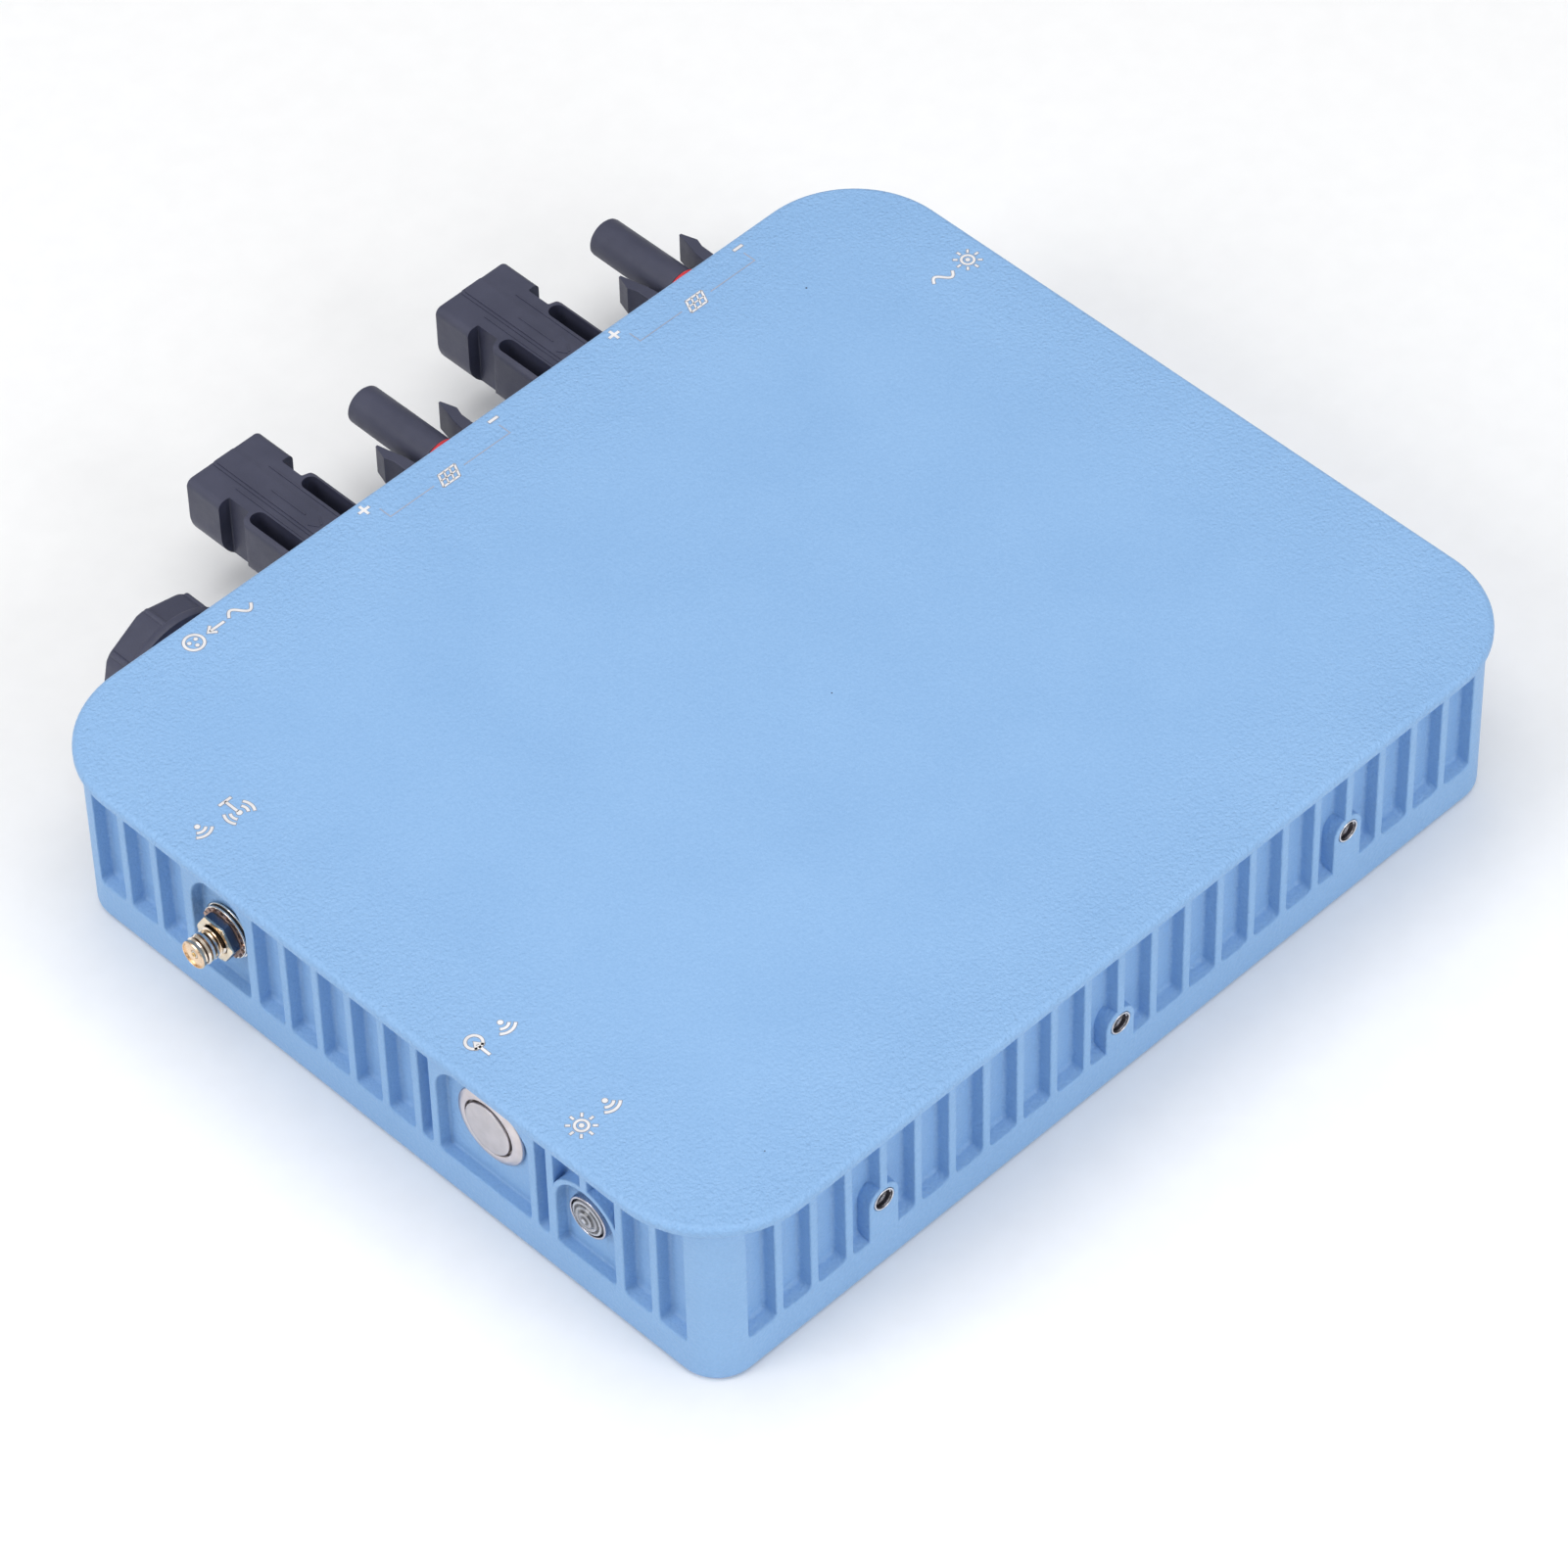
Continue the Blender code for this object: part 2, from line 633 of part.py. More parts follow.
def build_button():
    place = Vector((RECESS_WALL_X, BUTTON_Y, BUTTON_Z))
    bezel = [
        (7.9 * MM, -15.0 * MM),
        (7.9 * MM, GAP),
        (8.5 * MM, GAP),
        (8.7 * MM, 0.5 * MM),
        (8.6 * MM, 0.8 * MM),
        (7.4 * MM, 1.35 * MM),
        (6.4 * MM, 1.5 * MM),
        (6.15 * MM, 1.4 * MM),
        (6.15 * MM, 0.8 * MM),
        (7.2 * MM, 0.8 * MM),
        (7.2 * MM, -15.0 * MM),
    ]
    turned_object("button_bezel", bezel, "stainless", place, OUT_PLUS_X, steps=32, closed=True)
    cap = [
        (6.85 * MM, -1.4 * MM),
        (6.85 * MM, 0.4 * MM),
        (5.85 * MM, 0.4 * MM),
        (5.85 * MM, 1.3 * MM),
        (5.65 * MM, 1.5 * MM),
        (3.0 * MM, 1.6 * MM),
    ]
    turned_object("button_cap", cap, "stainless", place, OUT_PLUS_X, steps=32)
    switch = [
        (5.6 * MM, -18.0 * MM),
        (6.85 * MM, -17.0 * MM),
        (6.85 * MM, -4.0 * MM),
        (2.0 * MM, -4.0 * MM),
        (2.0 * MM, -2.9 * MM),
    ]
    turned_object("button_switch_block", switch, "black_rubber", place, OUT_PLUS_X)
    inner_face = WALL - RECESS_DEPTH
    nut_place = place - Vector((inner_face + GAP + 2.5 * MM, 0, 0))
    hex_nut("button_nut", 19.0 * MM, 8.2 * MM, 2.5 * MM, "nickel", nut_place, OUT_PLUS_X, steps=12)


def build_lamp(prefix, place, rotation):
    """An indicator lamp: a turned metal bezel pressed through the wall, and its clear lens."""
    bezel = [
        (3.9 * MM, -8.0 * MM),
        (3.9 * MM, GAP),
        (4.8 * MM, GAP),
        (4.95 * MM, 0.5 * MM),
        (4.85 * MM, 1.6 * MM),
        (4.5 * MM, 2.2 * MM),
        (4.0 * MM, 2.4 * MM),
        (3.6 * MM, 2.1 * MM),
        (3.6 * MM, -0.5 * MM),
        (2.6 * MM, -0.5 * MM),
        (2.6 * MM, -8.0 * MM),
    ]
    turned_object(f"{prefix}_bezel", bezel, "stainless", place, rotation, closed=True)
    lens = [
        (2.3 * MM, -7.0 * MM),
        (2.3 * MM, -0.2 * MM),
        (3.3 * MM, -0.2 * MM),
        (3.3 * MM, 2.1 * MM),
        (2.7 * MM, 2.6 * MM),
        (1.6 * MM, 3.0 * MM),
        (0.6 * MM, 3.15 * MM),
    ]
    turned_object(f"{prefix}_lens", lens, "clear_lens", place, rotation)


# Solar connectors: distances along -Y from the wall


def connector_stem_and_collar():
    """The threaded stem behind the wall and the round collar in front of it."""
    return [
        (-13.0 * MM, round_section(STEM_RADIUS)),
        (GAP, round_section(STEM_RADIUS)),
        (GAP, round_section(10.2 * MM)),
        (5.2 * MM, round_section(10.2 * MM)),
        (5.8 * MM, round_section(9.6 * MM)),
    ]


def build_plus_connector(number, x):
    """The wide connector: head, narrow neck and latch body with two long windows."""
    place = (x, -BODY_HALF_Y, CONNECTOR_Z)
    full = (9.9 * MM, 8.6 * MM)
    neck = (7.0 * MM, 8.4 * MM)
    tip = 45.4 * MM
    bore = 5.2 * MM
    lengthwise = (
        (6.6, full[0] - 0.7 * MM, full[1] - 0.7 * MM, 1.6),
        (7.4, *full, 1.6),
        (28.0, *full, 1.6),
        (28.9, full[0] - 0.5 * MM, full[1] - 0.1 * MM, 1.6),
        (29.5, full[0] - 1.5 * MM, full[1] - 0.2 * MM, 1.5),
        (29.9, *neck, 1.2),
        (35.5, *neck, 1.2),
        (35.7, *full, 1.6),
        (45.1, *full, 1.6),
        (45.4, full[0] - 0.3 * MM, full[1] - 0.3 * MM, 1.5),
    )
    sections = connector_stem_and_collar()
    for distance, half_x, half_z, radius in lengthwise:
        low_radius = half_x - 2.4 * MM if half_x < full[0] - 2 * MM else 7.4 * MM
        outline = rounded_rectangle(half_x, half_z, radius * MM, low_radius=low_radius)
        sections.append((distance * MM, outline))
    sections += [(tip, round_section(bore)), (12.0 * MM, round_section(bore))]
    housing = skinned_object(f"solar_plus_housing_{number}", sections, "dark_plastic", place, OUT_MINUS_Y)

    bm = bmesh.new()
    for lean in (-1, 1):
        ends = []
        for height in (5.0 * MM, 10.0 * MM):
            window = rounded_rectangle(1.8 * MM, 9.5 * MM, 1.7 * MM, 4)
            ends.append([bm.verts.new((u + lean * 6.9 * MM, height, w + 19.2 * MM)) for u, w in window])
        close_prism(bm, ends)
    combine(housing, place_mesh(f"cut_windows_{number}", bm, None, place, OUT_MINUS_Y), "DIFFERENCE")

    pin = [(2.0 * MM, 12.3 * MM), (2.0 * MM, 37.0 * MM), (1.4 * MM, 38.5 * MM), (0.6 * MM, 39.0 * MM)]
    turned_object(f"solar_plus_pin_{number}", pin, "tin", place, OUT_MINUS_Y, steps=16)
    connector_nut(f"solar_plus_nut_{number}", x, STEM_RADIUS, 19.0 * MM)


def connector_nut(name, x, stem, across):
    """The lock nut inside the wall."""
    place = (x, -BODY_HALF_Y + WALL + GAP + 3.0 * MM, CONNECTOR_Z)
    hex_nut(name, across, stem + GAP, 3.0 * MM, "dark_plastic", place, OUT_MINUS_Y, steps=12)


def build_minus_connector(number, x):
    """The slender connector: a tube with a sealing ring and two latch arms beside its root."""
    place = Vector((x, -BODY_HALF_Y, CONNECTOR_Z))
    tube = 4.4 * MM
    tip = 42.7 * MM
    bore = 3.0 * MM
    base = (
        (6.6, 8.8, 7.6, 5.0),
        (7.4, 9.4, 8.2, 5.0),
        (15.8, 9.4, 8.2, 5.0),
        (16.6, 8.8, 7.6, 4.6),
    )
    sections = connector_stem_and_collar()
    for distance, half_x, half_z, radius in base:
        sections.append((distance * MM, rounded_rectangle(half_x * MM, half_z * MM, radius * MM)))
    sections += [
        (16.6 * MM, round_section(tube + 0.5 * MM)),
        (18.2 * MM, round_section(tube + 0.5 * MM)),
        (18.2 * MM, round_section(tube - 0.5 * MM)),
        (20.2 * MM, round_section(tube - 0.5 * MM)),
        (20.2 * MM, round_section(tube)),
        (tip - 0.6 * MM, round_section(tube)),
        (tip, round_section(tube - 0.4 * MM)),
        (tip, round_section(bore)),
        (12.0 * MM, round_section(bore)),
    ]
    skinned_object(f"solar_minus_housing_{number}", sections, "dark_plastic", place, OUT_MINUS_Y)

    ring = [(tube - 0.2 * MM, 18.5 * MM), (tube + 0.3 * MM, 18.5 * MM), (tube + 0.6 * MM, 18.9 * MM)]
    ring += [(tube + 0.6 * MM, 19.5 * MM), (tube + 0.3 * MM, 19.9 * MM), (tube - 0.2 * MM, 19.9 * MM)]
    turned_object(f"solar_minus_seal_{number}", ring, "red_rubber", place, OUT_MINUS_Y, closed=True)

    socket = [
        (2.6 * MM, 12.3 * MM),
        (2.6 * MM, 38.0 * MM),
        (2.3 * MM, 38.5 * MM),
        (1.4 * MM, 38.5 * MM),
        (1.4 * MM, 20.0 * MM),
    ]
    turned_object(f"solar_minus_contact_{number}", socket, "tin", place, OUT_MINUS_Y, steps=16)
    for side, lean in (("left", 1), ("right", -1)):
        build_latch_arm(f"latch_arm_{number}_{side}", place, lean)
    connector_nut(f"solar_minus_nut_{number}", x, STEM_RADIUS, 19.0 * MM)


def build_latch_arm(name, place, lean):
    """A barbed arm whose origin is on the axis that it bends about."""
    root_x = 7.2 * MM
    root_d = 17.8 * MM
    outline = [
        (-1.1, -0.85),
        (1.1, -0.85),
        (2.0, 1.4),
        (2.15, 5.5),
        (2.8, 7.6),
        (1.6, 11.3),
        (1.2, 11.3),
        (0.6, 8.7),
        (-0.5, 5.0),
    ]
    bm = bmesh.new()
    ends = []
    for height in (-ARM_HEIGHT / 2, ARM_HEIGHT / 2):
        ends.append([bm.verts.new((lean * u * MM, -d * MM, height)) for u, d in outline])
    close_prism(bm, ends)
    spot = place + Vector((lean * root_x, -root_d, 0))
    place_mesh(name, bm, "dark_plastic", spot)


# AC connector: distances along -Y from the wall


def build_ac_connector():
    place = Vector((AC_X, -BODY_HALF_Y, CONNECTOR_Z))
    body = [
        (AC_STEM_RADIUS, -13.0 * MM),
        (AC_STEM_RADIUS, GAP),
        (13.6 * MM, GAP),
        (13.6 * MM, 3.0 * MM),
        (11.0 * MM, 3.4 * MM),
        (11.0 * MM, 18.6 * MM),
        (10.6 * MM, 19.2 * MM),
        (9.4 * MM, 19.2 * MM),
        (9.4 * MM, 5.0 * MM),
    ]
    turned_object("ac_panel_body", body, "dark_plastic", place, OUT_MINUS_Y, steps=32)

    insert = bmesh.new()
    turned(insert, [(9.1 * MM, 5.3 * MM), (9.1 * MM, 9.0 * MM)], 32)
    holder = place_mesh("ac_contact_holder", insert, "black_rubber", place, OUT_MINUS_Y)
    spots = {"line": 90, "neutral": 210, "earth": 330}
    holes = bmesh.new()
    for name, degrees in spots.items():
        turn = math.radians(degrees)
        x = 4.6 * MM * math.cos(turn)
        z = 4.6 * MM * math.sin(turn)
        extruded(holes, [(x + dx, z + dz) for dx, dz in circle(1.5 * MM, 16)], 6.0 * MM, 11.0 * MM)
        pin = bmesh.new()
        turned(pin, [(1.2 * MM, 6.3 * MM), (1.2 * MM, 13.8 * MM), (0.7 * MM, 14.4 * MM)], 16)
        place_mesh(f"ac_pin_{name}", pin, "tin", place + Vector((x, 0, z)), OUT_MINUS_Y)
    combine(holder, place_mesh("cut_contact_holder", holes, None, place, OUT_MINUS_Y), "DIFFERENCE")

    grip = polygon_round(13.3 * MM, 14.2 * MM, 8, 48)
    grip_face = polygon_round(12.7 * MM, 13.5 * MM, 8, 48)
    inner = circle(11.4 * MM, 48)
    coupling = [
        (4.0 * MM, circle(12.6 * MM, 48)),
        (12.4 * MM, circle(12.8 * MM, 48)),
        (13.0 * MM, circle(14.6 * MM, 48)),
        (14.6 * MM, circle(14.6 * MM, 48)),
        (15.1 * MM, grip),
        (20.6 * MM, grip),
        (21.2 * MM, grip_face),
        (21.2 * MM, inner),
        (4.0 * MM, inner),
    ]
    skinned_object("ac_coupling_ring", coupling, "dark_plastic", place, OUT_MINUS_Y, closed=True)
    connector_nut("ac_lock_nut", AC_X, AC_STEM_RADIUS, 25.0 * MM)


# Circuit board and what stands on it


def build_board():
    bm = bmesh.new()
    block(bm, (BOARD_X[0], BOARD_Y[0], BOARD_LOW), (BOARD_X[1], BOARD_Y[1], BOARD_TOP))
    board = place_mesh("circuit_board", bm, "board_green")
    holes = bmesh.new()
    for number, (x, y) in enumerate(board_screw_places(), start=1):
        outline = [(x + dx, y + dy) for dx, dy in circle(1.8 * MM, 12)]
        extruded(holes, outline, BOARD_LOW - MM, BOARD_TOP + MM)
        profile = [
            (1.0 * MM, FLOOR + 1.4 * MM),
            (1.5 * MM, FLOOR + 2.0 * MM),
            (1.5 * MM, BOARD_TOP + GAP),
            (2.8 * MM, BOARD_TOP + GAP),
            (2.8 * MM, BOARD_TOP + 1.6 * MM),
            (2.2 * MM, BOARD_TOP + 2.2 * MM),
        ]
        turned_object(f"board_screw_{number}", profile, "nickel", (x, y, 0), UPRIGHT, steps=12)
    combine(board, place_mesh("cut_board_holes", holes), "DIFFERENCE")


def build_board_parts():
    """Transformers, bulk capacitors, grid relay and wireless module."""
    floor = BOARD_TOP + GAP
    for number, x in enumerate((-50.0 * MM, 2.0 * MM), start=1):
        bm = bmesh.new()
        outline = rounded_rectangle(20 * MM, 17 * MM, 3 * MM, 3)
        extruded(bm, outline, 0, 24 * MM)
        place_mesh(f"transformer_{number}", bm, "ferrite", (x, -8 * MM, floor))
    for number, x in enumerate((-60.0 * MM, -34.0 * MM), start=1):
        profile = [(8.6 * MM, 0), (9.0 * MM, 0.6 * MM), (9.0 * MM, 2.0 * MM), (8.6 * MM, 2.6 * MM)]
        profile += [(9.0 * MM, 3.2 * MM), (9.0 * MM, 25.4 * MM), (8.4 * MM, 26.0 * MM)]
        turned_object(f"bulk_capacitor_{number}", profile, "capacitor_sleeve", (x, 38 * MM, floor), UPRIGHT)
    bm = bmesh.new()
    block(bm, (-15 * MM, -7 * MM, 0), (15 * MM, 7 * MM, 16 * MM))
    place_mesh("grid_relay", bm, "relay_case", (45 * MM, -42 * MM, floor))
    bm = bmesh.new()
    block(bm, (-9 * MM, -12 * MM, 0), (9 * MM, 12 * MM, 3.2 * MM))
    place_mesh("wireless_module", bm, "nickel", (58 * MM, -8 * MM, floor))


def main():
    clear_scene()
    build_tray()
    build_gasket()
    build_lid()
    build_lid_screws()
    build_bracket_inserts()
    build_antenna_socket()
    build_button()
    build_lamp("wireless_lamp", (RECESS_WALL_X, LAMP_Y, LAMP_Z), OUT_PLUS_X)
    build_lamp("inverter_lamp", (-RECESS_WALL_X, SECOND_LAMP_Y, LAMP_Z), OUT_MINUS_X)
    for number, x in enumerate(PLUS_X, start=1):
        build_plus_connector(number, x)
    for number, x in enumerate(MINUS_X, start=1):
        build_minus_connector(number, x)
    build_ac_connector()
    build_board()
    build_board_parts()


main()
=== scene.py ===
"""Looks of a grid-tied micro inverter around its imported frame.

Every piece is built in metres in the frame's own coordinates: +Z up through the lid, the solar and
AC
connectors on the -Y wall, the antenna socket and the push button on the +X wall, and the bracket
threads in the +Y wall. In a wall's own coordinates X runs along it, Y is up and Z points outwards.
"""

from __future__ import annotations

import json
import logging
import math
from dataclasses import dataclass
from enum import Enum
from typing import Iterable, Sequence

import bmesh
import bpy
from mathutils import Matrix, Quaternion, Vector

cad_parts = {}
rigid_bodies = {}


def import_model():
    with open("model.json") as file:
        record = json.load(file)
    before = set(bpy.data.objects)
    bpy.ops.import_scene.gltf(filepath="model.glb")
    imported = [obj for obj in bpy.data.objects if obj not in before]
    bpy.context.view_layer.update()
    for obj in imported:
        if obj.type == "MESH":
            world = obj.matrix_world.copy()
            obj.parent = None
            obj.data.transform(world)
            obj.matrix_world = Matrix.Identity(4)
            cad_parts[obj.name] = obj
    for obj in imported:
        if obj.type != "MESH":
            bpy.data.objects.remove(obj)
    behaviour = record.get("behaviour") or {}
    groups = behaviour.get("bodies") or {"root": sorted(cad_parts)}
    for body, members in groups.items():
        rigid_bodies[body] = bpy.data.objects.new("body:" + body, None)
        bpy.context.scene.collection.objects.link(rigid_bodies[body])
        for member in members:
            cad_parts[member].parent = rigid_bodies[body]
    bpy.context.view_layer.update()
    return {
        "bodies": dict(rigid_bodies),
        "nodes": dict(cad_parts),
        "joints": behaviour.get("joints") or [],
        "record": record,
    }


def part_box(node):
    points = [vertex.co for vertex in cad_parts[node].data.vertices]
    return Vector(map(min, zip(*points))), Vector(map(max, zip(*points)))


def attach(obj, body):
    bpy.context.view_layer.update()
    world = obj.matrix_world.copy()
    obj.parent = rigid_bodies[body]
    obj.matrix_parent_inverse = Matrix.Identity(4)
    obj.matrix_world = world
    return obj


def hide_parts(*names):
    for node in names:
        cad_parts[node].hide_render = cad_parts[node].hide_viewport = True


LOG = logging.getLogger("micro_inverter")
MM = 0.001
HOUSING = "housing"

Outline = list[tuple[float, float]]
Section = tuple[float, Outline]
Colour = tuple[float, float, float]
Steps = tuple[tuple[float, ...], ...]


# Finishes


class ShaderSketch:
    """A material's node tree while it is being drawn."""

    def __init__(self, name: str, colour: Colour, roughness: float, metallic: float = 0.0) -> None:
        """Starts a material with a Principled shader.

        Args:
            name: The material's name.
            colour: Linear base colour.
            roughness: The shader's roughness.
            metallic: The shader's metallic value.
        """
        self.material = bpy.data.materials.new(name)
        self.material.use_nodes = True
        self.tree = self.material.node_tree
        self.shader = self.tree.nodes["Principled BSDF"]
        self.shader.inputs["Base Color"].default_value = (*colour, 1.0)
        self.shader.inputs["Roughness"].default_value = roughness
        self.shader.inputs["Metallic"].default_value = metallic
        self.place = self.node("ShaderNodeTexCoord").outputs["Object"]

    def node(
        self, kind: str, settings: dict | None = None, inputs: dict | None = None
    ) -> bpy.types.Node:
        """Adds a node.

        Args:
            kind: The node's type name.
            settings: Properties of the node.
            inputs: Values or output sockets, keyed by input name or index.

        Returns:
            The new node.
        """
        made = self.tree.nodes.new(kind)
        for key, value in (settings or {}).items():
            setattr(made, key, value)
        for key, value in (inputs or {}).items():
            if isinstance(value, bpy.types.NodeSocket):
                self.tree.links.new(value, made.inputs[key])
            else:
                made.inputs[key].default_value = value
        return made

    def math(
        self, operation: str, first: object, second: object = 0.0, third: object = 0.0
    ) -> bpy.types.NodeSocket:
        """Adds a Math node and returns its result."""
        made = self.node(
            "ShaderNodeMath", {"operation": operation}, {0: first, 1: second, 2: third}
        )
        return made.outputs[0]

    def noise(
        self, size: float, detail: float = 2.0, place: object = None
    ) -> bpy.types.NodeSocket:
        """Adds noise whose blobs are about the given size, in metres, and returns its factor."""
        inputs = {"Vector": place or self.place, "Scale": 1.0 / size, "Detail": detail}
        return self.node("ShaderNodeTexNoise", None, inputs).outputs["Fac"]

    def ramp(
        self, value: object, low: float, high: float, to_low: float, to_high: float
    ) -> bpy.types.NodeSocket:
        """Maps a value from one range to another, clamped, and returns the result."""
        inputs = {
            "Value": value, "From Min": low, "From Max": high, "To Min": to_low, "To Max": to_high
        }
        return self.node("ShaderNodeMapRange", None, inputs).outputs["Result"]

    def tint(self, factor: object, low: Colour, high: Colour) -> None:
        """Sets the base colour to a mix of two colours."""
        inputs = {"Factor": factor, 6: (*low, 1.0), 7: (*high, 1.0)}
        mixed = self.node("ShaderNodeMix", {"data_type": "RGBA"}, inputs)
        self.tree.links.new(mixed.outputs[2], self.shader.inputs["Base Color"])

    def rough(self, value: object) -> None:
        """Drives the roughness."""
        self.tree.links.new(value, self.shader.inputs["Roughness"])

    def bump(self, height: object, distance: float) -> None:
        """Adds relief of the given height in metres."""
        made = self.node(
            "ShaderNodeBump", None, {"Height": height, "Distance": distance, "Strength": 1.0}
        )
        self.tree.links.new(made.outputs["Normal"], self.shader.inputs["Normal"])

    def from_axis(self, centre: Sequence[float], mask: Sequence[float]) -> bpy.types.NodeSocket:
        """Returns the distance from an axis through the centre; the mask has 0 along the axis, 1
        across it.
        """
        moved = self.node(
            "ShaderNodeVectorMath", {"operation": "SUBTRACT"}, {0: self.place, 1: tuple(centre)}
        )
        flat = self.node(
            "ShaderNodeVectorMath",
            {"operation": "MULTIPLY"},
            {0: moved.outputs[0], 1: tuple(mask)},
        )
        return self.node(
            "ShaderNodeVectorMath", {"operation": "LENGTH"}, {0: flat.outputs[0]}
        ).outputs["Value"]


@dataclass(frozen=True)
class PowderCoat:
    """Sprayed and baked coat: orange-peel grain, faint mottling and a few dark specks."""

    name: str
    colour: Colour
    shade: Colour
    reach: tuple[float, float] | None = None
    grain: float = 0.62 * MM
    edge_band: float = 34 * MM
    speck: Colour = (0.05, 0.07, 0.12)

    def make(self) -> bpy.types.Material:
        """Draws the material; near the plate's edge, at reach, its grain is coarser."""
        sketch = ShaderSketch(self.name, self.colour, 0.46)
        sketch.shader.inputs["Specular IOR Level"].default_value = 0.42
        mottle = sketch.ramp(sketch.noise(26 * MM, 3.0), 0.3, 0.7, 0.0, 1.0)
        fine = sketch.ramp(sketch.noise(0.5 * MM, 1.0), 0.3, 0.7, 0.0, 0.55)
        blend = sketch.math("MULTIPLY_ADD", mottle, 0.45, fine)
        cells = sketch.node(
            "ShaderNodeTexVoronoi", None, {"Vector": sketch.place, "Scale": 1 / (15 * MM)}
        )
        dot = sketch.math("LESS_THAN", cells.outputs["Distance"], 0.014)
        parts = sketch.node("ShaderNodeSeparateColor", None, {0: cells.outputs["Color"]})
        chosen = sketch.math("GREATER_THAN", parts.outputs[0], 0.62)
        specks = sketch.math("MULTIPLY", dot, chosen)
        base = {"Factor": blend, 6: (*self.colour, 1.0), 7: (*self.shade, 1.0)}
        coat = sketch.node("ShaderNodeMix", {"data_type": "RGBA"}, base)
        over = {"Factor": specks, 6: coat.outputs[2], 7: (*self.speck, 1.0)}
        spotted = sketch.node("ShaderNodeMix", {"data_type": "RGBA"}, over)
        sketch.tree.links.new(spotted.outputs[2], sketch.shader.inputs["Base Color"])
        peel = sketch.noise(self.grain, 1.5)
        pebble = sketch.node(
            "ShaderNodeTexVoronoi", {"feature": "SMOOTH_F1"}, {
                "Vector": sketch.place, "Scale": 0.7 / self.grain
            }
        )
        weight: object = 0.55
        if self.reach:
            axes = sketch.node("ShaderNodeSeparateXYZ", None, {0: sketch.place})
            bands = []
            for axis, half in enumerate(self.reach):
                spread = sketch.math("ABSOLUTE", axes.outputs[axis])
                bands.append(sketch.ramp(spread, half - self.edge_band, half, 0.0, 1.0))
            nearest = sketch.math("MAXIMUM", bands[0], bands[1])
            weight = sketch.math("MULTIPLY_ADD", nearest, 0.9, 0.35)
        height = sketch.math("MULTIPLY_ADD", pebble.outputs["Distance"], -0.6, peel)
        sketch.bump(sketch.math("MULTIPLY", height, weight), 0.26 * MM)
        sketch.rough(sketch.ramp(peel, 0.3, 0.7, 0.42, 0.56))
        return sketch.material


@dataclass(frozen=True)
class Moulded:
    """Moulded plastic or rubber: a fine eroded grain with slight changes of gloss and shade."""

    name: str
    colour: Colour
    shade: Colour
    gloss: tuple[float, float] = (0.42, 0.56)
    grain: float = 0.22 * MM
    relief: float = 0.02 * MM

    def make(self) -> bpy.types.Material:
        """Draws the material."""
        sketch = ShaderSketch(self.name, self.colour, sum(self.gloss) / 2)
        cloud = sketch.noise(7 * MM, 3.0)
        sketch.tint(sketch.ramp(cloud, 0.35, 0.65, 0.0, 1.0), self.colour, self.shade)
        fine = sketch.noise(self.grain, 2.0)
        smear = sketch.noise(2.6 * MM, 2.0)
        sketch.rough(
            sketch.ramp(
                sketch.math("MULTIPLY_ADD", smear, 0.6, sketch.math("MULTIPLY", fine, 0.4)),
                0.3,
                0.7,
                *self.gloss,
            )
        )
        sketch.bump(fine, self.relief)
        return sketch.material


@dataclass(frozen=True)
class Metal:
    """Machined or plated metal: turning marks about an axis where it has one, and fine scratches.
    """

    name: str
    colour: Colour
    shade: Colour
    gloss: tuple[float, float] = (0.22, 0.38)
    centre: tuple[float, float, float] | None = None
    across: tuple[float, float, float] = (0.0, 1.0, 1.0)
    groove: float = 0.16 * MM
    relief: float = 0.004 * MM

    def make(self) -> bpy.types.Material:
        """Draws the material."""
        sketch = ShaderSketch(self.name, self.colour, sum(self.gloss) / 2, 1.0)
        cloud = sketch.noise(3.5 * MM, 3.0)
        sketch.tint(sketch.ramp(cloud, 0.35, 0.65, 0.0, 1.0), self.colour, self.shade)
        fine = sketch.noise(0.12 * MM, 2.0)
        height: object = fine
        if self.centre:
            radius = sketch.from_axis(self.centre, self.across)
            turns = sketch.math("SINE", sketch.math("MULTIPLY", radius, 2 * math.pi / self.groove))
            height = sketch.math("MULTIPLY_ADD", turns, 0.5, fine)
        sketch.rough(sketch.ramp(sketch.math("ADD", fine, cloud), 0.8, 1.2, *self.gloss))
        sketch.bump(height, self.relief)
        return sketch.material


@dataclass(frozen=True)
class ClearLens:
    """Clear plastic over a bright reflector, cut in concentric steps, with rings of light and
    shade from the steps painted into its colour.
    """

    name: str
    colour: Colour
    centre: tuple[float, float, float]
    step: float = 1.1 * MM

    def make(self) -> bpy.types.Material:
        """Draws the material."""
        sketch = ShaderSketch(self.name, self.colour, 0.08)
        sketch.shader.inputs["IOR"].default_value = 1.49
        sketch.shader.inputs["Transmission Weight"].default_value = 0.35
        sketch.shader.inputs["Coat Weight"].default_value = 0.6
        radius = sketch.from_axis(self.centre, (0.0, 1.0, 1.0))
        wave = sketch.math("SINE", sketch.math("MULTIPLY", radius, 2 * math.pi / self.step))
        ripple = sketch.noise(0.5 * MM, 2.0)
        # Painted light and shade: concentric rings darken the lens colour down to 0.16 of it
        # between bright rings, for the light seen through the steps
        level = sketch.ramp(sketch.math("MULTIPLY_ADD", ripple, 0.8, wave), -0.5, 1.3, 0.0, 1.0)
        low = tuple(0.16 * value for value in self.colour)
        sketch.tint(level, low, self.colour)
        sketch.rough(sketch.ramp(ripple, 0.3, 0.7, 0.05, 0.16))
        sketch.bump(wave, 0.03 * MM)
        return sketch.material


